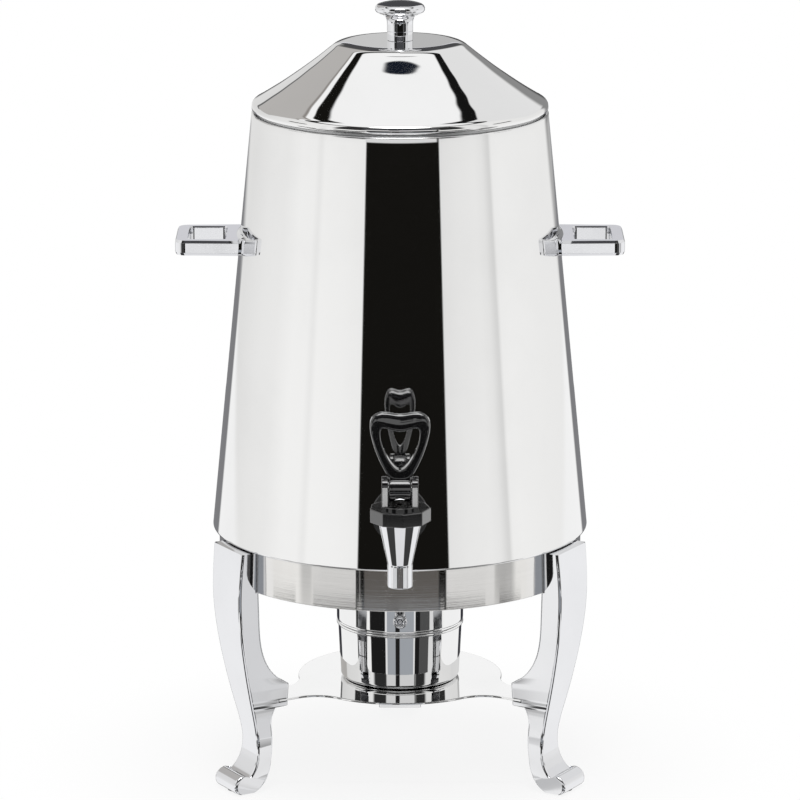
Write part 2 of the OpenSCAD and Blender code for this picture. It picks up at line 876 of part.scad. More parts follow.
module seat_cup() {
    color(seal_grey)
        translate([0, tap_y, cup_z])
            difference() {
                cylinder(r = cup_r, h = cup_h);
                translate([0, 0, cup_h - stem_in_cup])
                    cylinder(r = stem_r + thread_gap, h = stem_in_cup + past);
            }
}

// Coil spring: one tube swept along a helix between the seat cup and the bonnet
spring_rings = 12 * spring_turns;
spring_sides = 6;
spring_rise = spring_h - 2 * spring_wire_r;
spring_points = [for (i = [0:spring_rings], j = [0:spring_sides - 1])
    let (a = 360 * spring_turns * i / spring_rings, b = 360 * j / spring_sides)
    [(spring_r + spring_wire_r * cos(b)) * cos(a), (spring_r + spring_wire_r * cos(b)) * sin(a),
        spring_wire_r + spring_rise * i / spring_rings + spring_wire_r * sin(b)]];
spring_faces = concat(
    [[for (j = [0:spring_sides - 1]) j]],
    [for (i = [0:spring_rings - 1], j = [0:spring_sides - 1])
        let (a = i * spring_sides + j, b = i * spring_sides + (j + 1) % spring_sides)
        [a, a + spring_sides, b + spring_sides, b]],
    [[for (j = [spring_sides - 1:-1:0]) spring_rings * spring_sides + j]]);

module valve_spring() {
    color(plain_steel)
        translate([0, tap_y, spring_z])
            polyhedron(points = spring_points, faces = spring_faces);
}

// Lid
lid_edge = [lid_r - 2.2, band_top_z + 0.6];
lid_brow = [plateau_r + 4, plateau_z - 2.5];
lid_bend = (lid_edge + lid_brow) / 2 - [0, 2 * lid_sag];
lid_brow_bend = [plateau_r + 1.2, plateau_z];
lid_crown = [plateau_r - 3, plateau_z];
lid_drop = [0, -lid_t];

module lid_shell() {
    color(mirror_steel)
        rotate_extrude()
            polygon(concat(
                [[plug_r, lid_seat_z], [lid_r - 0.9, lid_seat_z], [lid_r, lid_seat_z + 1.2],
                    [lid_r, band_top_z - 2], [lid_r - 0.7, band_top_z - 0.4]],
                bow(lid_edge, lid_bend, lid_brow),
                bow(lid_brow, lid_brow_bend, lid_crown),
                [[knob_thread_r + hole_gap, plateau_z],
                    [knob_thread_r + hole_gap, plateau_z - lid_t]],
                bow(lid_crown + lid_drop, lid_brow_bend + lid_drop, lid_brow + lid_drop),
                bow(lid_brow + lid_drop, lid_bend + lid_drop,
                    [plug_r, lid_edge[1] - 1.5 * lid_t])));
}

module lid_skirt() {
    color(plain_steel)
        translate([0, 0, lid_seat_z - plug_depth])
            tube(plug_r, plug_r - plug_t, plug_depth + plug_in_hem);
}

module lid_knob() {
    flare_z = plateau_z + knob_neck_h;
    head_z = knob_top_z - knob_head_h;
    edge_r = 1.6;
    color(chrome)
        rotate_extrude()
            polygon(concat(
                [[0, plateau_z + knob_thread_h], [knob_thread_r + thread_gap, plateau_z + knob_thread_h],
                    [knob_thread_r + thread_gap, plateau_z], [knob_neck_r, plateau_z]],
                bow([knob_neck_r, flare_z], [knob_neck_r, flare_z + 6], [knob_head_r - 0.6, head_z - edge_r]),
                bow([knob_head_r, head_z], [knob_head_r, head_z + edge_r], [knob_head_r - 2.4, head_z + 2.6]),
                bow([knob_head_r - 2.4, head_z + 2.6], [knob_head_r / 2, knob_top_z], [0, knob_top_z])));
}

module knob_washer() {
    color(plain_steel)
        translate([0, 0, plateau_z - lid_t - knob_washer_t])
            tube(knob_washer_r, knob_thread_r + hole_gap, knob_washer_t);
}

module knob_screw() {
    color(plain_steel)
        translate([0, 0, plateau_z - lid_t - knob_washer_t])
            screw(knob_thread_r, screw_head_r + 1, screw_head_h + 0.4,
                lid_t + knob_washer_t + knob_screw_in);
}

// Burner
module flame_windows(z, h) {
    for (i = [0:window_count - 1])
        rotate([0, 0, 90 - window_angle / 2 + i * 360 / window_count])
            translate([0, 0, z])
                rotate_extrude(angle = window_angle)
                    translate([window_in_r, 0])
                        square([window_out_r - window_in_r, h]);
}

module burner_cup() {
    foot_r = burner_cup_r - cup_taper - cup_foot;
    color(mirror_steel)
        rotate_extrude()
            polygon(concat(
                [[0, burner_z]],
                arc([foot_r, burner_z + cup_foot], cup_foot, -90, 0),
                [[burner_cup_r, band_z], [burner_cup_r, burner_rim_z],
                    [burner_cup_r - burner_t, burner_rim_z], [burner_cup_r - burner_t, band_z]],
                arc([foot_r, burner_z + cup_foot], cup_foot - burner_t, 0, -90),
                [[0, burner_z + burner_t]]));
}

module burner_flame_plate() {
    color(plain_steel)
        difference() {
            translate([0, 0, flame_plate_z])
                cylinder(r = burner_cup_r - burner_t - flame_plate_gap, h = burner_t);
            flame_windows(flame_plate_z - past, burner_t + 2 * past);
        }
}

module burner_lid() {
    bead = 1.2;
    color(mirror_steel)
        difference() {
            rotate_extrude()
                polygon(concat(
                    [[0, burner_top - burner_t], [band_in_r, burner_top - burner_t],
                        [band_in_r, band_z], [band_r - bead / 2, band_z]],
                    [[band_r, band_z + bead / 2], [band_r, burner_top - bead],
                        [band_r - bead, burner_top], [0, burner_top]]));
            flame_windows(burner_top - burner_t - past, burner_t + 2 * past);
            translate([0, -band_in_r + past, burner_knob_z])
                rotate([90, 0, 0])
                    cylinder(r = burner_knob_neck_r + thread_gap, h = burner_t + 2 * past);
        }
}

// Turned knob along -Y on the lid's band
module burner_knob() {
    rim = 1;
    color(chrome)
        translate([0, -band_in_r, burner_knob_z])
            rotate([90, 0, 0])
                rotate_extrude()
                    polygon([[0, 0.1], [burner_knob_neck_r, 0.1],
                        [burner_knob_neck_r, burner_knob_out - 5],
                        [burner_knob_r - rim, burner_knob_out - 4.4],
                        [burner_knob_r, burner_knob_out - 3.4],
                        [burner_knob_r, burner_knob_out - rim],
                        [burner_knob_r - rim, burner_knob_out],
                        [burner_knob_r - 1.6 * rim, burner_knob_out],
                        [burner_knob_r - 2.4 * rim, burner_knob_out - 1.2],
                        [1.1, burner_knob_out - 1.2], [0, burner_knob_out - 0.4]]);
}

support_ring();
leg_front_left();
leg_front_right();
leg_rear();
leg_screws();
leg_washers();
foot_pads();
shelf_plate();
shelf_screws();
urn_shell();
urn_base();
handle_left();
handle_right();
handle_screws();
handle_backings();
tap_body();
tap_collar();
tap_outer_gasket();
tap_inner_gasket();
tap_lock_nut();
tap_bonnet();
bonnet_seal();
lever_pin();
lid_shell();
lid_skirt();
lid_knob();
knob_washer();
knob_screw();
tap_lever();
valve_stem();
seat_cup();
valve_spring();
burner_cup();
burner_flame_plate();
burner_lid();
burner_knob();
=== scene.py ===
import json
import bmesh
import bpy
import numpy as np
from math import atan, cos, degrees, pi, radians, sin
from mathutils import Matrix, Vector


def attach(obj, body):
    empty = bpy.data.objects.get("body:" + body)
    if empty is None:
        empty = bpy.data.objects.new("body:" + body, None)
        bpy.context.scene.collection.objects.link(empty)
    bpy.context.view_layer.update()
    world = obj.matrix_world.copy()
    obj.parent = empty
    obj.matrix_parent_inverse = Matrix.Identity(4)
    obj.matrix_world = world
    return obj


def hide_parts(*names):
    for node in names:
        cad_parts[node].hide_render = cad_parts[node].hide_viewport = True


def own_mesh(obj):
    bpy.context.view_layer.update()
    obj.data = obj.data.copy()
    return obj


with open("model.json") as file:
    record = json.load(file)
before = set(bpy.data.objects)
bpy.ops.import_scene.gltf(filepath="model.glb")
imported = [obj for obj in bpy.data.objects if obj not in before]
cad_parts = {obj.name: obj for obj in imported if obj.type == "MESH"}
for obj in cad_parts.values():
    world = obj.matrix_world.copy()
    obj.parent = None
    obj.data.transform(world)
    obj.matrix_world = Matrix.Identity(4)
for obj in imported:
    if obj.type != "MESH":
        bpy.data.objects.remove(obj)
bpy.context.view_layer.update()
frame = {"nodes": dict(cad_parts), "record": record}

scene = bpy.context.scene
mm = 0.001  # pieces are worked out in millimetres


# curves and profiles

def curve(points, steps):  # natural cubic spline over the chord length
    p = np.asarray(points, float)
    h = np.hypot(*np.diff(p, axis=0).T)
    rows = np.arange(1, len(p) - 1)
    system, bend = np.eye(len(p)), np.zeros_like(p)
    system[rows, rows - 1] = h[:-1]
    system[rows, rows] = 2 * (h[:-1] + h[1:])
    system[rows, rows + 1] = h[1:]
    bend[1:-1] = 6 * np.diff(np.diff(p, axis=0) / h[:, None], axis=0)
    m = np.linalg.solve(system, bend)
    t = np.linspace(0, 1, steps, endpoint=False)[None, :, None]
    pull = ((1 - t) ** 3 - 1 + t) * m[:-1, None] + (t ** 3 - t) * m[1:, None]
    q = (1 - t) * p[:-1, None] + t * p[1:, None] + h[:, None, None] ** 2 / 6 * pull
    return np.vstack([q.reshape(-1, 2), p[-1]])


def closedCurve(points, steps):  # the same spline carried round a closed outline
    p = np.asarray(points, float)
    return curve(np.vstack([p[-4:], p, p[:5]]), steps)[4 * steps:(4 + len(p)) * steps]


def bow(a, b, c, steps):  # (1-t)^2 a + 2t(1-t) b + t^2 c
    t = np.linspace(0, 1, steps)[:, None]
    return (1 - t) ** 2 * np.array(a) + 2 * t * (1 - t) * np.array(b) + t ** 2 * np.array(c)


def arc(centre, r, start, end, steps):  # centre + r (cos a, sin a)
    a = np.radians(np.linspace(start, end, steps))
    return np.array(centre) + r * np.stack([np.cos(a), np.sin(a)], 1)


hold = 0.03  # a point this far past each rounding keeps the flats flat


def rounded(points, radii, steps=8):  # each corner with a radius becomes a tangent arc
    p = np.asarray(points, float)
    out = []
    for i, r in enumerate(radii):
        if r == 0:
            out.append(p[i:i + 1])
            continue
        u, v = p[i - 1] - p[i], p[(i + 1) % len(p)] - p[i]
        u, v = u / np.hypot(*u), v / np.hypot(*v)
        half = np.arccos(np.clip(u @ v, -1, 1)) / 2
        mid = p[i] + (u + v) / np.hypot(*(u + v)) * r / np.sin(half)
        run = r / np.tan(half)
        s, e = p[i] + u * run - mid, p[i] + v * run - mid
        turn = np.degrees(np.arctan2(s[0] * e[1] - s[1] * e[0], s @ e))
        a = np.degrees(np.arctan2(s[1], s[0]))
        corner = arc(mid, r, a, a + turn, steps + 1)
        out.append(np.vstack([p[i] + u * (run + hold), corner, p[i] + v * (run + hold)]))
    return np.vstack(out)


def spaced(points, gap):  # extra points, so that no step is longer than gap
    p = np.asarray(points, float)
    run = np.r_[0, np.cumsum(np.hypot(*np.diff(p, axis=0).T))]
    parts = np.maximum(1, np.ceil(np.diff(run) / gap)).astype(int)
    steps = [np.linspace(a, b, k, endpoint=False) for a, b, k in zip(run, run[1:], parts)]
    at = np.concatenate(steps + [run[-1:]])
    return np.stack([np.interp(at, run, p[:, k]) for k in range(2)], 1)


def spacedLoop(points, gap):  # the same round a closed outline
    return spaced(np.vstack([points, points[:1]]), gap)[:-1]


def split(points, parts):  # each step of a closed outline cut into equal parts
    p = np.asarray(points, float)
    t = np.arange(parts)[None, :, None] / parts
    return (p[:, None] * (1 - t) + np.roll(p, -1, axis=0)[:, None] * t).reshape(-1, 2)


# surfaces: each returns (points, faces), or a grid for shell

def shell(grid, closeRows=False, start="open", end="open"):  # grid[i, j] -> point; columns always close
    rows, cols = grid.shape[:2]
    points = grid.reshape(-1, 3)
    i = np.arange(rows if closeRows else rows - 1)[:, None]
    j = np.arange(cols)[None, :]
    a, b, k = i * cols, (i + 1) % rows * cols, (j + 1) % cols
    faces = np.stack(np.broadcast_arrays(a + j, a + k, b + k, b + j), -1).reshape(-1, 4).tolist()
    for row, kind in ((0, start), (rows - 1, end)):
        ring = row * cols + np.arange(cols)
        if kind == "face":
            faces.append(ring.tolist())
        if kind == "pole":
            faces += np.stack([ring, np.roll(ring, -1), np.full(cols, len(points))], 1).tolist()
            points = np.vstack([points, grid[row].mean(axis=0)])
    return points, faces


def revolve(profile, turns=240, at=(0, 0), closed=False, start="open", end="open"):
    # P(t, a) = (x0 + r(t) cos a, y0 + r(t) sin a, z(t))
    a = np.linspace(0, 2 * pi, turns, endpoint=False)
    r, z = profile[:, :1], profile[:, 1:]
    grid = np.stack(np.broadcast_arrays(at[0] + r * np.cos(a), at[1] + r * np.sin(a), z), -1)
    return shell(grid, closed, start, end)


def forward(surface, y, z):  # stands a turned piece along -Y
    p = surface[0]
    return np.stack([p[:, 0], y - p[:, 2], z + p[:, 1]], 1), surface[1]


def band(outer, inner, half, edge, across, steps=5, chamfer=False):
    # section between outer(s) and inner(s), half(s) to each side; elliptic corners: edge inwards,
    # across sideways, each a pair for the outer and the inner line -> (s, v, [a, z, b])
    most = {"edge": 0.96, "across": 0.98}  # share of the section that the corners may take
    span = inner - outer
    depth = np.hypot(*span.T)[:, None]
    column = lambda value: np.broadcast_to(value, len(outer))[:, None]
    half, eo, ei = column(half), column(edge[0]), column(edge[1])
    fit = np.minimum(1, most["edge"] * depth / (eo + ei))
    eo, ei = eo * fit, ei * fit
    fo = np.minimum(column(across[0]), most["across"] * half)
    fi = np.minimum(column(across[1]), most["across"] * half)
    t = np.linspace(0, pi / 2, steps + 1)[None, :]
    c, s = np.cos(t), np.sin(t)
    if chamfer:
        s = np.array([[0, 0.03, 0.97, 1]])
        c = 1 - s
    corners = [(eo - eo * c, half - fo + fo * s), (depth - ei + ei * s, half - fi + fi * c),
               (depth - ei + ei * c, fi - half - fi * s), (eo - eo * s, fo - half - fo * c)]
    flat = np.array([0.01, 0.35, 0.65, 0.99])  # points across each flat
    parts = []
    for k, (a, b) in enumerate(corners):
        na, nb = corners[(k + 1) % 4]
        parts.append((np.hstack([a, a[:, -1:] + (na[:, :1] - a[:, -1:]) * flat]),
                      np.hstack([b, b[:, -1:] + (nb[:, :1] - b[:, -1:]) * flat])))
    a, b = np.hstack([p[0] for p in parts]), np.hstack([p[1] for p in parts])
    plan = outer[:, None] + (span / depth)[:, None] * a[..., None]
    return np.concatenate([plan, b[..., None]], -1)


def plate(outline, centre, low, high, edge, steps=5):
    # P(k, s) = centre + (outline(s) - centre) (1 - inset(k) / reach(s)), height h(k); faces close in poles
    arm = outline - np.array(centre)
    reach = np.hypot(*arm.T)
    t = np.linspace(0, pi / 2, steps + 1)
    flat = np.array([0.97, 0.7, 0.35, 0.1, 0.004]) * (reach.min() - edge)  # rows over each face
    inset = np.r_[flat + edge, edge * (1 - np.sin(t)), 0, 0, edge * (1 - np.cos(t)), (flat + edge)[::-1]]
    lower = np.r_[np.full(len(flat), low), low + edge * (1 - np.cos(t)), low + edge + hold]
    upper = np.r_[high - edge - hold, high - edge * (1 - np.sin(t)), np.full(len(flat), high)]
    height = np.r_[lower, upper]
    plan = np.array(centre) + arm[None] * (1 - inset[:, None, None] / reach[None, :, None])
    return np.concatenate([plan, np.broadcast_to(height[:, None, None], plan.shape[:2] + (1,))], -1)


def piece(name, surfaces, spec, modifiers=()):
    points, faces, count = [], [], 0
    for p, f in surfaces:
        points.append(p)
        faces += [[v + count for v in face] for face in f]
        count += len(p)
    mesh = bpy.data.meshes.new(name)
    mesh.from_pydata(np.vstack(points) * mm, [], faces)
    work = bmesh.new()
    work.from_mesh(mesh)
    bmesh.ops.recalc_face_normals(work, faces=work.faces)
    work.to_mesh(mesh)
    work.free()
    mesh.shade_smooth()
    mesh.set_sharp_from_angle(angle=radians(spec.get("sharp", 40)))
    made = bpy.data.objects.new(name, mesh)
    scene.collection.objects.link(made)
    made.data.materials.append(looks[spec["slot"]])
    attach(made, spec["body"])
    if "node" in spec:
        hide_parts(spec["node"])
    for kind, values in modifiers:
        extra = made.modifiers.new(kind.title(), kind)
        for key, value in values.items():
            setattr(extra, key, value)
    return made


# materials

def newGroup(name, inputs, outputs):
    group = bpy.data.node_groups.new(name, "ShaderNodeTree")
    for title, kind, value in inputs:
        group.interface.new_socket(title, in_out="INPUT", socket_type=kind).default_value = value
    for title, kind in outputs:
        group.interface.new_socket(title, in_out="OUTPUT", socket_type=kind)
    return group, group.nodes.new("NodeGroupInput"), group.nodes.new("NodeGroupOutput")


def node(tree, kind, values=(), links=()):
    made = tree.nodes.new(kind)
    for key, value in dict(values).items():
        if isinstance(key, str) and hasattr(made, key):
            setattr(made, key, value)
        else:
            made.inputs[key].default_value = value
    for key, source in dict(links).items():
        tree.links.new(source, made.inputs[key])
    return made


def maths(tree, operation, a, b):
    made = tree.nodes.new("ShaderNodeMath")
    made.operation = operation
    for slot, value in enumerate((a, b)):
        if isinstance(value, (int, float)):
            made.inputs[slot].default_value = value
        else:
            tree.links.new(value, made.inputs[slot])
    return made.outputs[0]


def remap(tree, value, limits):  # smooth step from one range of values to another
    spec = {**limits, "interpolation_type": "SMOOTHSTEP"}
    return node(tree, "ShaderNodeMapRange", spec, {"Value": value}).outputs[0]


# polish: hairlines and faint wiped smudges, from object coordinates
polish, polishIn, polishOut = newGroup("polish",
    [("Vector", "NodeSocketVector", (0, 0, 0)), ("Smudge", "NodeSocketFloat", 0.03),
     ("Base", "NodeSocketFloat", 0.04)],
    [("Roughness", "NodeSocketFloat"), ("Height", "NodeSocketFloat"), ("Tint", "NodeSocketFloat")])
surface = {"Vector": polishIn.outputs["Vector"]}
smudge = node(polish, "ShaderNodeTexNoise", {"Scale": 14.0, "Detail": 4.0, "Roughness": 0.6}, surface)
wipe = node(polish, "ShaderNodeMapRange", {"From Min": 0.45, "From Max": 0.8}, {"Value": smudge.outputs[0]})
hair = node(polish, "ShaderNodeTexNoise", {"Scale": 900.0, "Detail": 2.0, "Distortion": 0.4}, surface)
wave = node(polish, "ShaderNodeTexNoise", {"Scale": 9.0, "Detail": 1.0}, surface)
wiped = maths(polish, "MULTIPLY", wipe.outputs[0], polishIn.outputs["Smudge"])
hairline = maths(polish, "MULTIPLY", hair.outputs[0], 0.02)
polish.links.new(maths(polish, "ADD", wiped, polishIn.outputs["Base"]), polishOut.inputs["Roughness"])
polish.links.new(maths(polish, "ADD", hairline, wave.outputs[0]), polishOut.inputs["Height"])
polish.links.new(wipe.outputs[0], polishOut.inputs["Tint"])

# brushed: grain drawn out along the sheet, a stretched noise over object coordinates
brushed, brushedIn, brushedOut = newGroup("brushed",
    [("Vector", "NodeSocketVector", (0, 0, 0)), ("Stretch", "NodeSocketVector", (4, 4, 1400))],
    [("Grain", "NodeSocketFloat"), ("Streak", "NodeSocketFloat")])
drawn = node(brushed, "ShaderNodeVectorMath", {"operation": "MULTIPLY"},
    {0: brushedIn.outputs["Vector"], 1: brushedIn.outputs["Stretch"]}).outputs[0]
grain = node(brushed, "ShaderNodeTexNoise", {"Scale": 1.0, "Detail": 3.0, "Roughness": 0.65},
    {"Vector": drawn})
streak = node(brushed, "ShaderNodeTexNoise", {"Scale": 0.22, "Detail": 2.0}, {"Vector": drawn})
brushed.links.new(grain.outputs[0], brushedOut.inputs["Grain"])
brushed.links.new(streak.outputs[0], brushedOut.inputs["Streak"])


def material(name, spec):
    made = bpy.data.materials.new(name)
    made.use_nodes = True
    tree = made.node_tree
    shader = tree.nodes["Principled BSDF"]
    for key, value in spec["shader"].items():
        shader.inputs[key].default_value = value
    place = node(tree, "ShaderNodeTexCoord").outputs["Object"]
    low, high = spec["colours"]
    least, more = spec["rough"]
    if "stretch" in spec:
        use = node(tree, "ShaderNodeGroup", {"node_tree": brushed, "Stretch": spec["stretch"]},
            {"Vector": place})
        mask, height = use.outputs["Streak"], use.outputs["Grain"]
        rough = node(tree, "ShaderNodeMapRange", {"To Min": least, "To Max": more},
            {"Value": height}).outputs[0]
    else:
        use = node(tree, "ShaderNodeGroup", {"node_tree": polish, "Smudge": more, "Base": least},
            {"Vector": place})
        mask, height, rough = use.outputs["Tint"], use.outputs["Height"], use.outputs["Roughness"]
    tint = node(tree, "ShaderNodeMix", {"data_type": "RGBA"}, {0: mask})
    tint.inputs[6].default_value, tint.inputs[7].default_value = (*low, 1), (*high, 1)
    bump = node(tree, "ShaderNodeBump", {"Strength": spec["bump"], "Distance": spec["depth"] * mm},
        {"Height": height})
    tree.links.new(tint.outputs[2], shader.inputs["Base Color"])
    tree.links.new(rough, shader.inputs["Roughness"])
    tree.links.new(bump.outputs[0], shader.inputs["Normal"])
    return made


metal = {"Metallic": 1.0}
gloss = {"Coat Weight": 1.0, "Coat Roughness": 0.03, "Coat IOR": 1.9, "Specular IOR Level": 0.2}
finishes = {
    "mirror_steel": {"shader": metal, "colours": ((0.88, 0.88, 0.88), (0.85, 0.85, 0.85)),
        "rough": (0.025, 0.025), "bump": 0.04, "depth": 0.3},
    "cast_chrome": {"shader": metal, "colours": ((0.83, 0.835, 0.855), (0.79, 0.795, 0.815)),
        "rough": (0.035, 0.03), "bump": 0.05, "depth": 0.3},
    "satin_steel": {"shader": metal, "colours": ((0.81, 0.8, 0.785), (0.76, 0.75, 0.735)),
        "rough": (0.015, 0.05), "bump": 0.1, "depth": 0.02, "stretch": (3, 3, 1600)},
    "plain_steel": {"shader": metal, "colours": ((0.6, 0.605, 0.61), (0.5, 0.505, 0.51)),
        "rough": (0.2, 0.42), "bump": 0.1, "depth": 0.05, "stretch": (900, 60, 900)},
    "black_plastic": {"shader": gloss, "colours": ((0.005, 0.005, 0.0055), (0.008, 0.008, 0.0085)),
        "rough": (0.1, 0.08), "bump": 0.06, "depth": 0.2},
    "black_rubber": {"shader": {}, "colours": ((0.02, 0.02, 0.02), (0.035, 0.035, 0.035)),
        "rough": (0.5, 0.2), "bump": 0.3, "depth": 0.3},
    "seal_rubber": {"shader": {}, "colours": ((0.19, 0.19, 0.2), (0.24, 0.24, 0.25)),
        "rough": (0.55, 0.2), "bump": 0.3, "depth": 0.3},
}
looks = {name: material(name, spec) for name, spec in finishes.items()}
for part in frame["record"]["subparts"]:
    for place in frame["nodes"][part["node"]].material_slots:
        place.material = looks[part["material_slot"]]
print("materials ready")

# stand: ring, three scroll legs, shelf

ring = {"r": 128.8, "low": 148.2, "top": 177.9, "t": 1.5, "lip": 122.3,
    "slot": "satin_steel", "body": "stand", "node": "support_ring"}
ringIn, ringStep = ring["r"] - ring["t"], ring["top"] - ring["t"]
ringLine = rounded([(ring["r"], ring["low"]), (ring["r"], ring["top"]), (ring["lip"], ring["top"]),
    (ring["lip"], ringStep), (ringIn, ringStep), (ringIn, ring["low"])], (0.5, 0.9, 0.5, 0.5, 0.9, 0.5), 5)
piece("supportRing", [revolve(spacedLoop(ringLine, 3), 300, closed=True)], ring)

leg = {"outer": [(139.3, 177.3), (141.4, 142), (138.7, 112), (134.5, 88), (128.6, 62), (124.4, 44),
        (123.2, 34), (123.8, 25), (126.2, 18), (129.3, 13.6), (132, 11.6), (135.2, 13.5), (139.5, 12.5),
        (142.5, 9.2), (143.1, 5.4), (141.8, 2), (139.8, 0.6)],
    "pad": [(127.3, 177.3), (127.3, 148.3)],
    "rise": [(99.3, 77), (108, 82.5), (118.5, 96), (123.2, 113), (124.6, 130), (125.5, 148.1)],
    "lug": 99.3, "lugLow": 60.2, "slotEnd": 106.3, "slotTop": 65.5, "slotLow": 63.4,
    "heel": [(108.5, 60), (111, 53), (110.6, 38), (112.3, 24), (116.5, 10.5), (122, 3.4), (127, 0.6)],
    "width": [(-1, 15.6), (7.5, 15.4), (34, 11.8), (65.2, 14), (178.3, 21.2)], "edge": (2.0, 1.3),
    "steps": 16, "crease": 9, "toe": (10, 13, 16), "rows": 12, "slot": "cast_chrome", "body": "stand"}
legOuter = curve(leg["outer"], leg["steps"])
riseLine, heelLine = curve(leg["rise"], 10)[::-1], curve(leg["heel"], 10)
lugLine = [(leg["lug"], leg["slotTop"]), (leg["slotEnd"], leg["slotTop"]), (leg["slotEnd"], leg["slotLow"]),
    (leg["lug"], leg["slotLow"]), (leg["lug"], leg["lugLow"])]
legInner = np.vstack([leg["pad"], riseLine, lugLine, heelLine])
# stations: a row of the inner line, the height of its partner on the outer line, partners past the crease
stationInner = np.r_[0, 1, 2, 12, 22, 32, 42, 52:58, 58, 68, 78, 88, 98, 108, 118]
stationOuter = np.array([177.3, 148.4, 147.6, 130, 113, 98, 86, 79, 66.2, 65.6,
    63.4, 62.8, 61, 59.5, 52.5, 38, 23])
toeRows = leg["steps"] * np.array(leg["toe"])
ticks = np.arange(len(stationInner))
legRows = np.linspace(0, ticks[-1], leg["rows"] * ticks[-1] + 1)
rowInner = np.interp(legRows, ticks, stationInner)
upper = legOuter[:leg["steps"] * leg["crease"]]
partner = np.r_[np.interp(-stationOuter, -upper[:, 1], np.arange(len(upper))), toeRows]
rowOuter = np.interp(legRows, ticks, partner)
pick = lambda line, row: np.stack([np.interp(row, np.arange(len(line)), line[:, k]) for k in range(2)], 1)
outerLine, innerLine = pick(legOuter, rowOuter), pick(legInner, rowInner)
widthLine = curve(leg["width"], 12)
halfLine = np.interp((outerLine[:, 1] + innerLine[:, 1]) / 2, widthLine[:, 0], widthLine[:, 1])
section = band(outerLine, innerLine, halfLine, leg["edge"], leg["edge"])
hug = np.sqrt((ring["r"] + hold) ** 2 - section[..., 2] ** 2)
beside = section[..., 1] > ring["low"]
section[..., 0] = np.where(beside, np.maximum(section[..., 0], hug), section[..., 0])  # pad follows the ring
for title, turn in (("front_left", 210), ("front_right", 330), ("rear", 90)):
    c, s = cos(radians(turn)), sin(radians(turn))
    x, z, y = section[..., 0], section[..., 1], section[..., 2]
    grid = np.stack([x * c - y * s, x * s + y * c, z], -1)
    piece("leg_" + title + "_cast", [shell(grid, start="face", end="face")], {**leg, "node": "leg_" + title})

shelf = {"r": 73, "arm": 13, "fillet": 26, "end": 106, "top": 65.2, "t": 1.5, "edge": 0.5, "step": 3,
    "slot": "mirror_steel", "body": "stand", "node": "shelf_plate"}
filletY = shelf["arm"] + shelf["fillet"]
filletX = np.sqrt((shelf["r"] + shelf["fillet"]) ** 2 - filletY ** 2)
meet = degrees(atan(filletY / filletX))  # where the fillet meets the round plate
armRoot, armEnd, armHalf = filletX, shelf["end"], shelf["arm"]
armLine = np.vstack([arc((filletX, -filletY), shelf["fillet"], 180 - meet, 90, 40),
    spaced([(armRoot, -armHalf), (armEnd, -armHalf)], shelf["step"])[1:],
    spaced([(armEnd, -armHalf), (armEnd, armHalf)], shelf["step"])[1:],
    spaced([(armEnd, armHalf), (armRoot, armHalf)], shelf["step"])[1:],
    arc((filletX, filletY), shelf["fillet"], -90, -180 + meet, 40)[1:],
    arc((0, 0), shelf["r"], meet, 120 - meet, 90)[1:-1]])
armX, armY = armLine.T
turned = [np.stack([armX * cos(a) - armY * sin(a), armX * sin(a) + armY * cos(a)], 1)
    for a in np.radians((90, 210, 330))]
shelfGrid = plate(np.vstack(turned), (0, 0), shelf["top"] - shelf["t"], shelf["top"], shelf["edge"])
piece("shelfPlate", [shell(shelfGrid, start="pole", end="pole")], shelf)
print("stand built")

# urn body with its rolled rim

urn = {"base": 133.0, "mouth": 104.2, "baseZ": 181.4, "low": 177.9, "rim": 474.4, "corner": 1.4, "wall": 1.0,
    "bead": 1.2, "beadEnd": 235, "under": 122.0, "slot": "mirror_steel", "body": "urn", "node": "urn_shell"}
slope = (urn["base"] - urn["mouth"]) / (urn["rim"] - urn["baseZ"])
bodyR = lambda z: urn["base"] - (z - urn["baseZ"]) * slope
tilt = degrees(atan(slope))
tangentZ = urn["low"] + urn["corner"] * (1 + sin(radians(tilt)))
cornerMid = (bodyR(tangentZ) - urn["corner"] * cos(radians(tilt)), urn["low"] + urn["corner"])
beadMid = (urn["mouth"] - urn["bead"] * cos(radians(tilt)), urn["rim"])
urnLine = np.vstack([[(urn["under"], urn["low"])], arc(cornerMid, urn["corner"], -90, tilt, 12),
    [(bodyR(tangentZ + 0.1), tangentZ + 0.1)], arc(beadMid, urn["bead"], tilt, urn["beadEnd"], 24),
    [(urn["mouth"] - urn["wall"] + 0.2, urn["rim"] - 1.6)],
    arc(cornerMid, urn["corner"] - 0.9 * urn["wall"], tilt, -90, 8),
    [(urn["under"], urn["low"] + urn["wall"])]])
piece("urnShell", [revolve(spacedLoop(urnLine, 4), 320, closed=True)], urn)

# lid: edge band, hollow slope, brow and flat top

lid = {"seat": 477.1, "r": 104.0, "lip": 102.0, "roll": 479.3, "shoulder": 482.7, "edge": (100.9, 483.9),
    "bend": (73.9, 499.85), "brow": (47.6, 521.6), "fold": (43.2, 525.5), "crown": (35, 525.6), "hole": 2.8,
    "flat": 526.0, "t": 1.0, "plug": 101.2, "plugDrop": 1.5, "ripple": 0.035, "rippled": (50, 99), "fade": 8,
    "slot": "mirror_steel", "body": "lid", "node": "lid_shell"}
plugTop = (lid["plug"], lid["edge"][1] - lid["plugDrop"])
topLine = np.vstack([[(lid["plug"], lid["seat"])],
    bow((lid["lip"], lid["seat"]), (lid["r"], lid["seat"] + 0.1), (lid["r"], lid["roll"]), 9),
    bow((lid["r"], lid["roll"]), (lid["r"] - 0.05, lid["shoulder"]), lid["edge"], 12)[1:],
    bow(lid["edge"], lid["bend"], lid["brow"], 40)[1:],
    bow(lid["brow"], lid["fold"], lid["crown"], 14)[1:], [(lid["hole"], lid["flat"])]])
under = bow(lid["brow"], lid["fold"], lid["crown"], 10)[::-1] - (0, lid["t"])
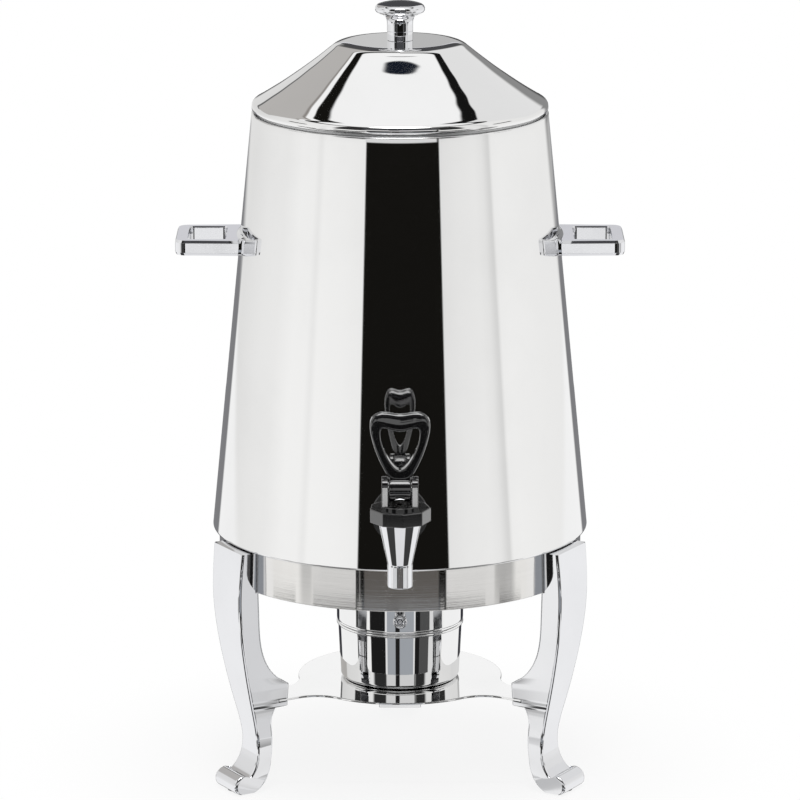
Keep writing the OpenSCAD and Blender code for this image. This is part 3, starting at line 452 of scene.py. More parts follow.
underSlope = bow(plugTop, lid["bend"], lid["brow"], 24)[::-1] - (0, lid["t"])
lidLine = np.vstack([topLine, [(lid["hole"], lid["flat"] - lid["t"])], under, underSlope[1:-1], [plugTop]])
lidPoints, lidFaces = revolve(spacedLoop(lidLine, 2), 320, closed=True)
# pressed sheet is never quite even: dz = ripple (sin(s / 4 + 3a) + 0.6 sin(s / 2.2 - 5a)), s along the radius
lidR, lidTurn = np.hypot(lidPoints[:, 0], lidPoints[:, 1]), np.arctan2(lidPoints[:, 1], lidPoints[:, 0])
inmost, outmost = lid["rippled"]
onSlope = np.clip((lidR - inmost) / lid["fade"], 0, 1) * np.clip((outmost - lidR) / lid["fade"], 0, 1)
waves = np.sin(lidR / 4 + 3 * lidTurn) + 0.6 * np.sin(lidR / 2.2 - 5 * lidTurn)
lidPoints[:, 2] += lid["ripple"] * onSlope * waves
piece("lidShell", [(lidPoints, lidFaces)], lid)

knob = {"hole": 2.6, "neck": 9.05, "foot": 526, "collar": 532.6, "groove": 0.35, "break": 0.3, "flare": 538.5,
    "head": 17.4, "headZ": 548, "top": 553.5, "slot": "cast_chrome", "body": "lid", "node": "lid_knob"}
neck, head, headZ, cut = knob["neck"], knob["head"], knob["headZ"], knob["break"]
headLow, headHigh = (head - 2.8, headZ - 3.1), (head - 3, headZ + 3.5)
knobLine = np.vstack([[(knob["hole"], knob["foot"]), (neck - cut, knob["foot"]), (neck, knob["foot"] + cut),
    (neck, knob["collar"] - cut), (neck - knob["groove"], knob["collar"]), (neck, knob["collar"] + cut)],
    bow((neck, knob["flare"]), (neck + 0.25, knob["flare"] + 5.1), headLow, 18),
    bow(headLow, (head, headZ - 2.3), (head, headZ), 10)[1:],
    bow((head, headZ), (head, headZ + 2.6), headHigh, 12)[1:],
    bow(headHigh, (8, knob["top"]), (0.5, knob["top"]), 16)[1:]])
piece("lidKnob", [revolve(spaced(knobLine, 1.5), 160, start="pole", end="pole")], knob)
print("urn and lid built")

# handles: a loop with a finger opening on a saddle that hugs the body

handle = {"low": 378.3, "t": 10.6, "near": 112.4, "end": 157.4, "nearHalf": 30.2, "endHalf": 28.8,
    "nearCorner": 0.4, "endCorner": 7.6, "gapNear": 122.4, "gapEnd": 148.4, "gapHalf": 23, "gapCorner": 3,
    "edge": (0.9, 0.5), "across": (1.85, 0.95), "slot": "cast_chrome", "body": "urn"}
loopOut = rounded([(handle["near"], -handle["nearHalf"]), (handle["end"], -handle["endHalf"]),
    (handle["end"], handle["endHalf"]), (handle["near"], handle["nearHalf"])],
    (handle["nearCorner"], handle["endCorner"], handle["endCorner"], handle["nearCorner"]), 12)
loopIn = rounded([(handle["gapNear"], -handle["gapHalf"]), (handle["gapEnd"], -handle["gapHalf"]),
    (handle["gapEnd"], handle["gapHalf"]), (handle["gapNear"], handle["gapHalf"])],
    [handle["gapCorner"]] * 4, 12)
loop = band(split(loopOut, 4), split(loopIn, 4), handle["t"] / 2,
    handle["edge"], handle["across"], chamfer=True)

saddle = {"angle": 28, "tip": 0.7, "face": 23.35, "low": 379.0, "tall": 11.2, "rise": 4.3, "riseFrom": 32,
    "root": (112.7, 30.2), "facet": 10, "facetFrom": 20, "lead": 3.2, "bevel": 0.9, "foot": 0.6,
    "blend": (24.5, 5)}
# section (depth from the wall, height) at turn a: a concave lead under the root, ears rising to their tips
saddleRows = np.r_[np.linspace(0, 14.7, 25), 14.96, 15.0, 15.1, 15.3, 15.48, 15.52, 15.56, 15.6, 15.66,
    np.linspace(16, 27, 31), np.linspace(27.1, 28, 13)]
saddleTurn = np.radians(np.r_[-saddleRows[:0:-1], saddleRows])
wallR = bodyR(saddle["low"] + saddle["tall"] / 2)
sideways = wallR * np.abs(np.sin(saddleTurn))
last = radians(saddle["angle"])
tip = np.clip((1 - np.abs(saddleTurn) / last) / 0.03, 0, 1) ** 0.5


def planeR(point, angle):  # r(a) of an upright plane through the point, facing the angle
    return (point[0] * cos(angle) + point[1] * sin(angle)) / np.cos(angle - np.abs(saddleTurn))


tipR, rootR = wallR + saddle["tip"], np.hypot(*saddle["root"])
earR = planeR((tipR * cos(last), tipR * sin(last)), radians(saddle["face"]))
facetR = np.minimum(planeR(saddle["root"], radians(90 - saddle["facet"])), rootR)
saddleR = np.maximum(earR, np.where(sideways < saddle["facetFrom"], rootR, facetR))
r = ((saddleR - wallR) * (0.3 + 0.7 * tip))[:, None]
upEar = (sideways - saddle["riseFrom"]) / (sideways.max() - saddle["riseFrom"])
lift = saddle["rise"] * np.clip(upEar, 0, 1) ** 1.4
q = np.linspace(0, pi / 2, 7)
bevel, lead, foot = saddle["bevel"], saddle["lead"], saddle["foot"]
low, top = (saddle["low"] + lift)[:, None], (saddle["low"] + saddle["tall"] + lift)[:, None]
level = 0 * low
rootTop = handle["low"] + handle["t"] - 0.1 + level
earD = np.hstack([0 * r, r * 0.5, r - foot, r, r, r, r - bevel + bevel * np.cos(q), r * 0.5, 0 * r])
earZ = np.hstack([low, low, low, low + foot, (low + top) / 2, top - bevel,
    top - bevel + bevel * np.sin(q), top, top])
rootD = np.hstack([0 * r, r * 0.5, r - foot, r, r, r, r - 0.3, r * 0.7, lead * (1 - np.sin(q)) + level])
rootZ = np.hstack([low, low, low, low + foot, low + 5, rootTop - 0.4, rootTop, rootTop,
    rootTop + lead * (1 - np.cos(q))])
blendFrom, blendOver = saddle["blend"]
blend = np.clip((sideways - blendFrom) / blendOver, 0, 1)[:, None]
blend = blend * blend * (3 - 2 * blend)
depthRow, heightRow = rootD + (earD - rootD) * blend, rootZ + (earZ - rootZ) * blend
outR = bodyR(heightRow) + depthRow + 0.02
saddleX, saddleY = outR * np.cos(saddleTurn)[:, None], outR * np.sin(saddleTurn)[:, None]
for title, sign in (("right", 1), ("left", -1)):
    loopGrid = np.stack([sign * loop[..., 0], loop[..., 1],
        handle["low"] + handle["t"] / 2 + loop[..., 2]], -1)
    saddleGrid = np.stack([sign * saddleX, saddleY, heightRow], -1)
    piece("handle_" + title + "_cast", [shell(loopGrid, closeRows=True),
        shell(saddleGrid, start="face", end="face")], {**handle, "node": "handle_" + title})
print("handles built")

# tap: chrome body, black bonnet with ears, lever loop

tapY, shankZ, pinZ = -180.012, 217.9, 248.9
tap = {"nozzle": 8.6, "bore": 5.5, "boreTop": 204.0, "low": 180.9, "cone": 196.9, "coneR": 15.0, "top": 226.9,
    "spigot": 13.5, "spigotTop": 232.2, "shank": 8.0, "shankFrom": -109.0, "shankLong": 68.0,
    "slot": "cast_chrome", "body": "urn", "node": "tap_body"}
nozzleLine = rounded([(tap["bore"], tap["low"]), (tap["nozzle"], tap["low"]), (tap["nozzle"], tap["cone"]),
    (tap["coneR"], tap["top"]), (tap["spigot"], tap["top"])], (0.6, 0.7, 9, 0.5, 0), 8)
tapLine = np.vstack([[(tap["bore"], tap["boreTop"])], nozzleLine, [(tap["spigot"], tap["spigotTop"])]])
shankLine = spaced([(tap["shank"], 0.0), (tap["shank"], tap["shankLong"])], 4)
shank = forward(revolve(shankLine, 64, start="pole", end="pole"), tap["shankFrom"], shankZ)
piece("tapBody", [revolve(spaced(tapLine, 1.5), 240, (0, tapY), start="pole", end="pole"), shank], tap)

bonnet = {"r": 20.9, "flats": 9, "turn": -84, "low": 226.9, "top": 236.4, "edge": 0.7,
    "boss": 12.4, "bossTall": 2, "sunk": 1, "earIn": 7.9, "earOut": 12.4, "earR": 8.0, "earCorner": 5,
    "earMid": 244.0, "earEdge": 0.5, "earTurn": 0.061,
    "slot": "black_plastic", "body": "urn", "node": "tap_bonnet", "sharp": 30}
corners = np.radians(bonnet["turn"] + np.arange(bonnet["flats"]) * 360 / bonnet["flats"])
nutCorners = bonnet["r"] * np.stack([np.cos(corners), np.sin(corners)], 1)
nutLine = split(rounded(nutCorners, [1.0] * bonnet["flats"], 4), 3)
nut = plate(nutLine, (0, 0), bonnet["low"], bonnet["top"], bonnet["edge"]) + (0, tapY, 0)
bossFoot, bossTop = bonnet["top"] - bonnet["sunk"], bonnet["top"] + bonnet["bossTall"]
bossLine = rounded([(0.5, bossFoot), (bonnet["boss"], bossFoot), (bonnet["boss"], bossTop), (2.5, bossTop)],
    (0, 0, 0.6, 0), 5)
boss = revolve(spaced(bossLine, 2), 96, (0, tapY), start="pole", end="pole")
earTop, earHalf = pinZ + bonnet["earR"], bonnet["earR"]
earLine = rounded([(earHalf, bossFoot), (earHalf, earTop), (-earHalf, earTop), (-earHalf, bossFoot)],
    (0.2, bonnet["earCorner"], bonnet["earCorner"], 0.2), 12)
earGrid = plate(spacedLoop(earLine, 2), (0, bonnet["earMid"]),
    bonnet["earIn"], bonnet["earOut"], bonnet["earEdge"])
earLean = bonnet["earTurn"] * (earGrid[..., 2] - bonnet["earIn"])  # fronts turned outwards by 3.5 degrees
earY = tapY + earGrid[..., 0] + earLean
ears = [shell(np.stack([s * earGrid[..., 2], earY, earGrid[..., 1]], -1), start="pole", end="pole")
    for s in (1, -1)]
piece("tapBonnet", [shell(nut, start="pole", end="pole"), boss] + ears, bonnet)

lever = {"outer": [(0, 52.4), (5, 53), (10, 53.7), (14.2, 53.4), (17.6, 51.5), (19.8, 48), (20.3, 43.4),
        (19.2, 36), (16.7, 27.3), (13.5, 19.3), (10.6, 13.6), (6.6, 8.6), (0, 7.2)],
    "inner": [(0, 40.6), (4, 41.1), (7.8, 42.3), (10.4, 43), (12.3, 42.6), (13.2, 40.6), (13.3, 38),
        (12.3, 32.6), (10, 26), (7.2, 20.4), (4.4, 16.5), (2, 14.5), (0, 14)],
    "outerEdge": [11, 11, 10, 8, 5, 3, 2.2, 1.9, 1.9, 1.9, 1.8, 1.6, 1.5],
    "outerAcross": [4.1, 4.1, 4.1, 3.8, 3, 2.4, 2, 1.9, 1.9, 1.9, 1.8, 1.6, 1.5],
    "steps": 10, "t": 8.4, "innerEdge": 1.1, "barrel": 8.5, "half": 7.6, "round": 0.8, "roof": 2.6,
    "gap": 3.0, "slot": "black_plastic", "body": "tap_lever", "node": "tap_lever"}
mirrored = lambda line: np.vstack([line, (line * (-1, 1))[-2:0:-1]])


def around(sizes):  # one size per control point, both halves
    at = np.arange(2 * lever["steps"] * (len(sizes) - 1)) / lever["steps"]
    return np.interp(at, np.arange(2 * len(sizes) - 1), np.r_[sizes, sizes[-2::-1]])


loopOuter = closedCurve(mirrored(np.array(lever["outer"])), lever["steps"])
loopInner = closedCurve(mirrored(np.array(lever["inner"])), lever["steps"])
leverLoop = band(loopOuter, loopInner, lever["t"] / 2, (around(lever["outerEdge"]), lever["innerEdge"]),
    (around(lever["outerAcross"]), lever["innerEdge"]), steps=10)
leverGrid = np.stack([leverLoop[..., 0], tapY + leverLoop[..., 2], pinZ + leverLoop[..., 1]], -1)
# barrel: r(x, a) = full radius, but inside the slot no lower than the roof plane
slotX = np.array([lever["gap"], lever["gap"] + 0.12, 5, 6.8, 7.2, 7.45, lever["half"]])
barrelX = np.r_[-slotX[::-1], -1.5, 0, 1.5, slotX][:, None]
barrelA = np.linspace(0, 2 * pi, 144, endpoint=False)[None, :]
shoulder = np.clip((np.abs(barrelX) - lever["half"] + lever["round"]) / lever["round"], 0, 1)
fullR = lever["barrel"] - lever["round"] * (1 - np.sqrt(1 - shoulder ** 2))
roofR = np.minimum(fullR, lever["roof"] / np.maximum(-np.sin(barrelA), 0.05))
barrelR = np.where(np.abs(barrelX) <= lever["gap"], roofR, fullR)
barrelY, barrelZ = tapY - barrelR * np.cos(barrelA), pinZ + barrelR * np.sin(barrelA)
barrelGrid = np.stack(np.broadcast_arrays(barrelX, barrelY, barrelZ), -1)
piece("tapLever", [shell(leverGrid, closeRows=True), shell(barrelGrid, start="pole", end="pole")], lever)

collar = {"bore": 8.04, "r": 13.0, "t": 4.0, "back": -133.0,
    "slot": "cast_chrome", "body": "urn", "node": "tap_collar"}
collarLine = rounded([(collar["bore"], 0), (collar["r"], 0), (collar["r"], collar["t"]),
    (collar["bore"], collar["t"])], (0.3, 0.3, 0.9, 0.4), 5)
collarRing = revolve(spacedLoop(collarLine, 2), 96, closed=True)
piece("tapCollar", [forward(collarRing, collar["back"], shankZ)], collar)

coil = {"r": 5.2, "wire": 0.6, "turns": 6, "low": 211.65, "top": 232.55, "fixed": 233.15, "keep": 0.773,
    "slot": "plain_steel", "body": "urn", "node": "valve_spring"}
# P(t, b) = ((r + w cos b) cos a, (r + w cos b) sin a, z(t) + w sin b), a = 2 pi turns t
coilT = np.linspace(0, 1, 24 * coil["turns"] + 1)[:, None]
wind, wire = 2 * pi * coil["turns"] * coilT, np.linspace(0, 2 * pi, 12, endpoint=False)[None, :]
wireR = coil["r"] + coil["wire"] * np.cos(wire)
wireZ = coil["low"] + (coil["top"] - coil["low"]) * coilT + coil["wire"] * np.sin(wire)
coilGrid = np.stack([wireR * np.cos(wind), tapY + wireR * np.sin(wind), wireZ], -1)
spring = piece("valveSpring", [shell(coilGrid, start="pole", end="pole")], coil)
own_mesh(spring)  # the spring gets a mesh of its own
print("tap built")

# burner: cup, turning lid with windows, turned knob

cup = {"r": 44.2, "taper": 1.6, "foot": 3.5, "low": 65.4, "band": 104.2, "rim": 127.1, "t": 0.8, "flat": 6,
    "slot": "mirror_steel", "body": "burner", "node": "burner_cup"}
cupLean = atan(cup["taper"] / (cup["band"] - cup["low"] - cup["foot"]))
footMid = (cup["r"] - cup["taper"] - cup["foot"], cup["low"] + cup["foot"])
wallFoot = np.array(footMid) + cup["foot"] * np.array((cos(cupLean), -sin(cupLean)))
wallHold = wallFoot + hold * (np.array((cup["r"], cup["band"])) - wallFoot) / (cup["band"] - wallFoot[1])
cupIn, cupFloor, rimEdge = cup["r"] - cup["t"], cup["low"] + cup["t"], cup["rim"] - 0.3
cupLine = np.vstack([[(0.6, cup["low"]), (cup["flat"], cup["low"])],
    arc(footMid, cup["foot"], -90, -degrees(cupLean), 16),
    [wallHold, (cup["r"], cup["band"]), (cup["r"], rimEdge), (cup["r"] - 0.4, cup["rim"]),
     (cupIn, rimEdge), (cupIn, cup["band"])],
    arc(footMid, cup["foot"] - cup["t"], -degrees(cupLean), -90, 12),
    [(cup["flat"], cupFloor), (0.6, cupFloor)]])
piece("burnerCup", [revolve(spaced(cupLine, 2.5), 200, start="pole", end="pole")], cup)

# lid: one skin over the top edge and down the band, window cells left out, thickened inwards
cover = {"r": 45.4, "top": 128.2, "low": 104.2, "t": 0.8, "edge": 1.4, "lean": 0.15, "bead": 1.5,
    "windows": (12, 35), "span": 28, "slot": "mirror_steel", "body": "burner_lid", "node": "burner_lid"}
bandFoot = cover["r"] - cover["lean"]
coverLine = np.vstack([[(ringR, cover["top"]) for ringR in (0.8, 6, 12, 24, 35, 40)],
    arc((cover["r"] - cover["edge"], cover["top"] - cover["edge"]), cover["edge"], 90, 0, 7),
    spaced([(cover["r"], cover["top"] - 2), (bandFoot, cover["low"] + 5.4)], 3),
    bow((bandFoot, cover["low"] + 4.6), (cover["r"] - 0.8, cover["low"] + 3.8),
        (cover["r"] - 0.5, cover["low"] + 3.2), 5),
    arc((cover["r"] - cover["bead"], cover["low"] + 1.6), cover["bead"], 55, -80, 10)])
coverPoints, coverFaces = revolve(coverLine, 180, start="pole")
quads = np.array([f for f in coverFaces if len(f) == 4])
cellX, cellY, cellZ = coverPoints[quads].mean(axis=1).T
cellR, cellTurn = np.hypot(cellX, cellY), np.degrees(np.arctan2(cellY, cellX))
away = np.abs((cellTurn - 90 + 60) % 120 - 60)  # degrees from the middle of the nearest window
inRing = (cellR > cover["windows"][0]) & (cellR < cover["windows"][1])
openCell = (cellZ > cover["top"] - 0.01) & inRing & (away < cover["span"])
kept = quads[~openCell].tolist() + [f for f in coverFaces if len(f) == 3]
piece("burnerLid", [(coverPoints, kept)], cover, [("SOLIDIFY", {"thickness": cover["t"] * mm, "offset": -1})])

pull = {"y": -44.6, "z": 119.2, "stem": [(0.4, 0.2), (2.0, 0.2), (2.0, 5.0), (4.3, 6.2), (5.0, 7.4)],
    "ring": (3.5, 8.4), "ringR": 1.6, "slot": "cast_chrome", "body": "burner_lid", "node": "burner_knob"}
pullLine = np.vstack([pull["stem"], arc(pull["ring"], pull["ringR"], 0, 205, 24),
    bow((1.7, 7.9), (1.5, 9.6), (0.3, 9.7), 8)])
pullTurned = revolve(spaced(pullLine, 0.8), 72, start="pole", end="pole")
piece("burnerKnob", [forward(pullTurned, pull["y"], pull["z"])], pull)
print("burner built")

# stage: pale sheet, soft studio round it, white behind for the camera

def emptyTree(owner):
    owner.use_nodes = True
    owner.node_tree.nodes.clear()
    return owner.node_tree


stageMat = bpy.data.materials.new("stage_sheet")
sheetTree = emptyTree(stageMat)
paper = node(sheetTree, "ShaderNodeBsdfDiffuse", {"Color": (0.86, 0.86, 0.86, 1)})
glow = node(sheetTree, "ShaderNodeEmission", {"Color": (1, 1, 1, 1), "Strength": 1.0})
path = node(sheetTree, "ShaderNodeLightPath").outputs
direct = maths(sheetTree, "MAXIMUM", path["Is Camera Ray"], path["Is Glossy Ray"])
seen = maths(sheetTree, "MAXIMUM", direct, path["Is Transmission Ray"])
spot = node(sheetTree, "ShaderNodeTexCoord").outputs["Object"]
far = node(sheetTree, "ShaderNodeVectorMath", {"operation": "LENGTH"}, {0: spot}).outputs["Value"]
fade = remap(sheetTree, far, {"From Min": 0.1, "From Max": 0.3, "To Min": 0.86, "To Max": 1.0})
white = maths(sheetTree, "MULTIPLY", seen, fade)
mixed = node(sheetTree, "ShaderNodeMixShader", {}, {0: white, 1: paper.outputs[0], 2: glow.outputs[0]})
sheetTree.links.new(mixed.outputs[0], node(sheetTree, "ShaderNodeOutputMaterial").inputs[0])

# dark boards: studio flags, and painted shade where the floor lies in the urn's shadow
flagAndShadeMat = bpy.data.materials.new("stage_flag_and_shade")
flagAndShadeTree = emptyTree(flagAndShadeMat)
flagAndShadeTone = node(flagAndShadeTree, "ShaderNodeEmission", {"Color": (0.07, 0.07, 0.075, 1), "Strength": 1.0})
flagAndShadeTree.links.new(flagAndShadeTone.outputs[0], node(flagAndShadeTree, "ShaderNodeOutputMaterial").inputs[0])


def board(name, corners, look, hidden):  # flat stage piece, left out of the named kinds of ray
    mesh = bpy.data.meshes.new(name)
    mesh.from_pydata(corners, [], [(0, 1, 2, 3)])
    mesh.materials.append(look)
    made = bpy.data.objects.new(name, mesh)
    scene.collection.objects.link(made)
    for kind in hidden:
        setattr(made, "visible_" + kind, False)


def lying(x, y, z):  # corners of a board flat on the floor
    return [(x[0], y[0], z), (x[1], y[0], z), (x[1], y[1], z), (x[0], y[1], z)]


def standing(half, y, z):  # corners of an upright board
    return [(half, y, z[0]), (-half, y, z[0]), (-half, y, z[1]), (half, y, z[1])]


sheet = {"x": (-0.09, 0.09), "y": (-0.05, 0.09), "z": 0}
apron = {"x": (-1.6, 1.6), "y": (-0.36, 2.2), "z": -0.0005}
shade = {"x": (0.035, 0.16), "y": (-0.04, 0.3), "z": 0.0006}
card = {"half": 0.2, "y": 0.6, "z": (0.14, 0.4)}
flag = {"half": 0.075, "y": 0.25, "z": (0.585, 0.8)}
screen = {"half": 0.32, "y": -0.6, "z": (0.6, 1.0)}
unseen = ("camera", "diffuse", "shadow", "transmission")
inner, outer = shade["x"]
board("stageSheet", lying(**sheet), stageMat, ())
board("stageApron", lying(**apron), stageMat, ("glossy",))  # metal sees the studio past it
# painted shade: dark boards seen only in reflections stand for the floor shadowed under the urn
board("stageShadeLeft", lying((-outer, -inner), shade["y"], shade["z"]), flagAndShadeMat, unseen)  # dim floor
board("stageShadeRight", lying(**shade), flagAndShadeMat, unseen)
board("stageCard", standing(**card), stageMat, unseen)  # white behind the stand
board("stageFlag", standing(**flag), flagAndShadeMat, unseen)  # dark behind and before the knob
board("stageScreen", standing(**screen), flagAndShadeMat, unseen)

world = bpy.data.worlds.new("studio")
scene.world = world
studio = emptyTree(world)
direction = node(studio, "ShaderNodeTexCoord").outputs["Generated"]
ray = node(studio, "ShaderNodeSeparateXYZ", {}, {0: direction}).outputs
ahead = maths(studio, "MULTIPLY", ray[1], -1.0)
azimuth = maths(studio, "MULTIPLY", maths(studio, "ARCTAN2", ray[0], ahead), 180 / pi)  # 0 at the front
height = maths(studio, "MULTIPLY", maths(studio, "ARCSINE", ray[2], 0.0), 180 / pi)


def between(value, low, high, soft):  # 1 inside the limits, soft edges in degrees
    up = remap(studio, value, {"From Min": low - soft, "From Max": low + soft})
    down = remap(studio, value, {"From Min": high - soft, "From Max": high + soft,
        "To Min": 1.0, "To Max": 0.0})
    return maths(studio, "MULTIPLY", up, down)


def area(limits, soft):  # one patch of the studio: azimuth and height limits with their softness
    left, right, low, high = limits
    along = between(azimuth, left, right, soft[0])
    return maths(studio, "MULTIPLY", along, between(height, low, high, soft[1]))


def lay(under, mask, tone):  # the tone over what is under it, where the mask is 1
    mixed = node(studio, "ShaderNodeMix", {"data_type": "RGBA"}, {0: mask, 6: under})
    if isinstance(tone, tuple):
        mixed.inputs[7].default_value = (*tone, 1)
    else:
        studio.links.new(tone, mixed.inputs[7])
    return mixed.outputs[2]


grey = lambda v: (v, v, v)
# side walls: tone along the azimuth, a little deeper towards the top
wallTones = [(-180, 0.8), (-140, 0.82), (-110, 0.9), (-93, 0.92), (-78, 0.99), (-66, 0.99), (-61.5, 0.92),
    (-58, 1.0), (-40, 0.99), (-26, 0.96), (29, 0.86), (42, 0.91), (57, 0.93), (64, 0.89), (70, 0.74),
    (72.5, 0.96), (80, 0.97), (110, 0.935), (150, 0.9), (180, 0.88)]
wallWarmth = (1, 0.997, 0.988)
bearing = maths(studio, "ADD", maths(studio, "DIVIDE", azimuth, 360.0), 0.5)
ramp = node(studio, "ShaderNodeValToRGB", {}, {0: bearing})
stops = ramp.color_ramp.elements
while len(stops) < len(wallTones):
    stops.new(1.0)
for stop, (at, tone) in zip(stops, wallTones):
    stop.position = at / 360 + 0.5
    stop.color = (*(tone * share for share in wallWarmth), 1)
washLimits = {"From Min": -5.0, "From Max": 3.0, "To Min": 1.0, "To Max": 0.94}
wash = node(studio, "ShaderNodeMapRange", washLimits, {"Value": height}).outputs[0]
wall = node(studio, "ShaderNodeVectorMath", {"operation": "SCALE"},
    {0: ramp.outputs[0], "Scale": wash}).outputs[0]

left, right = -25.5, 29.5  # where the dark front meets the walls
patches = [  # azimuth and height limits, their softness, radiance
    ((right, 190, -95, 54), (0.6, 0.6), wall),
    ((-190, left, -95, 50), (0.6, 0.6), wall),
    ((-172, -127, 17, 46.5), (2.0, 0.8), (0.5, 0.485, 0.47)),  # lid: grey left shoulder, its edges
    ((-172, -120, 45.4, 46.8), (2.0, 0.7), (0.27, 0.25, 0.235)),
    ((-172, -120, 47.1, 50), (2.0, 0.3), grey(1.0)),
    ((-176, -150, 14.8, 17), (2.0, 0.5), grey(0.14)),
    ((118, 172, 17, 56), (4.0, 3.0), grey(0.83)),  # light right shoulder, black stripe, grey limb
    ((30, 200, 54, 62), (3.0, 0.4), grey(0.008)),
    ((150, 200, -9, 16), (5.0, 2.5), grey(0.27)),
    ((-150, -88, -60, -9.5), (2.0, 0.4), grey(0.98)),  # legs and ring at the sides
    ((88, 150, -60, -9.5), (2.0, 0.4), grey(0.98)),
    ((151, 200, -30, -9), (2.0, 0.8), (0.22, 0.22, 0.23)),  # body limbs
    ((-200, -149, -30, -9), (2.0, 0.8), (0.22, 0.22, 0.23)),
    ((147, 200, -30, -15.7), (2.0, 0.1), (0.03, 0.03, 0.04)),  # burner and leg limbs
    ((-200, -147, -30, -15.7), (2.0, 0.1), (0.03, 0.03, 0.04)),
    ((172, 200, -9, 6), (2.0, 1.0), grey(0.08)),  # behind: knob, brow, flat top, handle tops
    ((-200, -173, -9, 6), (2.0, 1.0), grey(0.08)),
    ((168, 200, 13, 45), (2.0, 1.0), grey(0.08)),
    ((-200, -166, 18, 45), (2.0, 1.0), grey(0.08)),
    ((172, 200, 6, 10.9), (2.0, 0.4), grey(0.5)),
    ((-200, -172, 6, 10.9), (2.0, 0.4), grey(0.6)),
    ((172, 200, 10.9, 12.6), (2.0, 0.3), (0.68, 0.68, 0.71)),
    ((-200, -172, 10.9, 12.6), (2.0, 0.3), (0.68, 0.68, 0.71)),
    ((right, 57, -15.1, -7.5), (3.0, 0.3), grey(0.045)),  # the dark front is wider below and above the walls
    ((-52, left, -15.1, -7.5), (1.5, 0.3), grey(0.045)),
    ((right, 50, 5, 50), (3.0, 0.8), grey(0.03)),
    ((-52, left, 5, 50), (3.0, 0.8), grey(0.03)),
    ((-8, 8, -12.3, -11), (0.6, 0.1), grey(0.95)),  # small front card for the handle faces
    ((-10, -4.5, -14.78, -14.36), (0.5, 0.04), grey(4.5)),  # two small lamps on the tap
    ((4.5, 10, -14.78, -14.36), (0.5, 0.04), grey(4.5)),
    ((62, 77, -16.05, -9), (3.0, 1.0), grey(0.5)),  # ring: deeper dips and inner greys
    ((-66, -57, -16.05, -9), (2.5, 1.0), grey(0.6)),
    ((-57, -28, -16.05, -15.15), (1.0, 0.06), grey(0.8)),
    ((-28, left, -16.05, -15.15), (0.3, 0.06), grey(0.008)),
    ((right, 62, -16.05, -15.15), (1.0, 0.06), grey(0.86)),
    ((-22.5, 24.5, -16.03, -15.2), (0.8, 0.1), (0.13, 0.121, 0.113)),
    ((-88, -70, -24.5, -15.875), (1.0, 0.02), grey(0.03)),  # burner stripes
    ((-57, -26, -23.4, -15.945), (0.8, 0.015), grey(0.012)),
    ((-27.5, 28.5, -23.4, -15.98), (0.4, 0.01), grey(0.82)),
    ((-24, 25.5, -23.4, -15.98), (0.5, 0.01), (0.36, 0.38, 0.41)),
    ((-8.5, -0.5, -23.4, -16.2), (0.8, 0.06), grey(0.015)),
    ((28.5, 56, -23.4, -15.945), (0.6, 0.015), grey(0.08)),
    ((28.5, 37, -23.4, -15.96), (0.8, 0.015), grey(0.012)),
    ((56, 66, -29, -15.9), (1.0, 0.02), grey(0.75)),  # also the side face of the left leg
    ((66, 83, -24.5, -15.875), (1.0, 0.02), grey(0.02)),
    ((78, 97, 12, 18.6), (1.5, 0.4), grey(0.03)),  # seen twice over, by the legs in the burner
    ((-97, -78, 12, 18.6), (1.5, 0.4), grey(0.03)),
    ((33, 85, -95, -30), (2.0, 2.0), grey(0.05)),  # floor at the sides and in front
    ((-85, -33, -95, -30), (2.0, 2.0), grey(0.05)),
    ((-31, 31, -95, -32), (1.0, 1.0), (0.85, 0.85, 0.86)),
    ((-26, 28, 2.5, 24.5), (1.0, 0.6), grey(0.75)),  # front box above the lens
    ((-8.5, -0.5, 10.4, 13.2), (0.8, 0.3), grey(0.015)),
    ((-8.5, -0.5, 18.5, 24.5), (0.8, 0.6), grey(0.015)),
    ((-400, 0, 56.5, 95), (1.0, 0.8), grey(1.0)),  # overhead sheet
    ((0, 400, 60, 95), (1.0, 0.8), grey(1.0)),
    ((-32, 32, 52, 84), (2.0, 0.8), grey(5.0)),  # lamp over the front, for the lever's top edge
]
colour = node(studio, "ShaderNodeRGB").outputs[0]
colour.default_value = (0.0075, 0.007, 0.006, 1)
for limits, soft, tone in patches:
    colour = lay(colour, area(limits, soft), tone)
# dark lamp disc overhead: ((x - x0) / a)^2 + ((y - y0 - k x^2) / b)^2 < 1
lamp = {"x": 0.02, "y": 0.059, "bow": 1.04, "a": 0.21, "b": 0.017, "tone": (0.008, 0.011, 0.02)}
across = maths(studio, "DIVIDE", maths(studio, "SUBTRACT", ray[0], lamp["x"]), lamp["a"])
bowed = maths(studio, "MULTIPLY", maths(studio, "MULTIPLY", ray[0], ray[0]), lamp["bow"])
offset = maths(studio, "SUBTRACT", maths(studio, "SUBTRACT", ray[1], lamp["y"]), bowed)
upward = maths(studio, "DIVIDE", offset, lamp["b"])
disc = maths(studio, "ADD", maths(studio, "MULTIPLY", across, across),
    maths(studio, "MULTIPLY", upward, upward))
inside = remap(studio, disc, {"From Min": 0.6, "From Max": 1.3, "To Min": 1.0, "To Max": 0.0})
colour = lay(colour, maths(studio, "MULTIPLY", inside, between(height, 60, 200, 1)), lamp["tone"])
shot = node(studio, "ShaderNodeLightPath").outputs["Is Camera Ray"]
back = node(studio, "ShaderNodeBackground", {"Strength": 1.0}, {0: lay(colour, shot, grey(1))})
studio.links.new(back.outputs[0], node(studio, "ShaderNodeOutputWorld").inputs[0])
print("studio ready")

# camera fitted to the photo: 216 mm lens, 13.4 degrees above the level

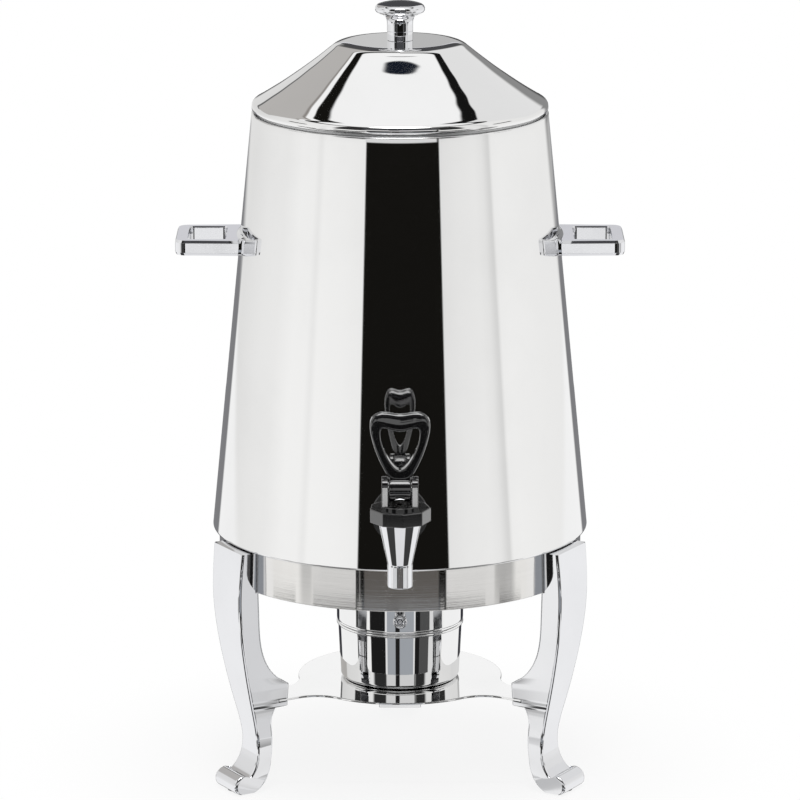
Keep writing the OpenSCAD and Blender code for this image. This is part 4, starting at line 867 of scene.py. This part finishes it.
view = {"from": (0, -3.3147, 1.0598), "to": (0, 0, 0.2677), "lens": 216, "sensor": 36, "far": 50}
lens = bpy.data.cameras.new("camera")
lens.lens = view["lens"]
lens.sensor_width = view["sensor"]
lens.clip_end = view["far"]
camera = bpy.data.objects.new("camera", lens)
scene.collection.objects.link(camera)
camera.location = view["from"]
camera.rotation_euler = (Vector(view["to"]) - Vector(view["from"])).to_track_quat("-Z", "Y").to_euler()
scene.camera = camera
scene.view_settings.view_transform = "Standard"
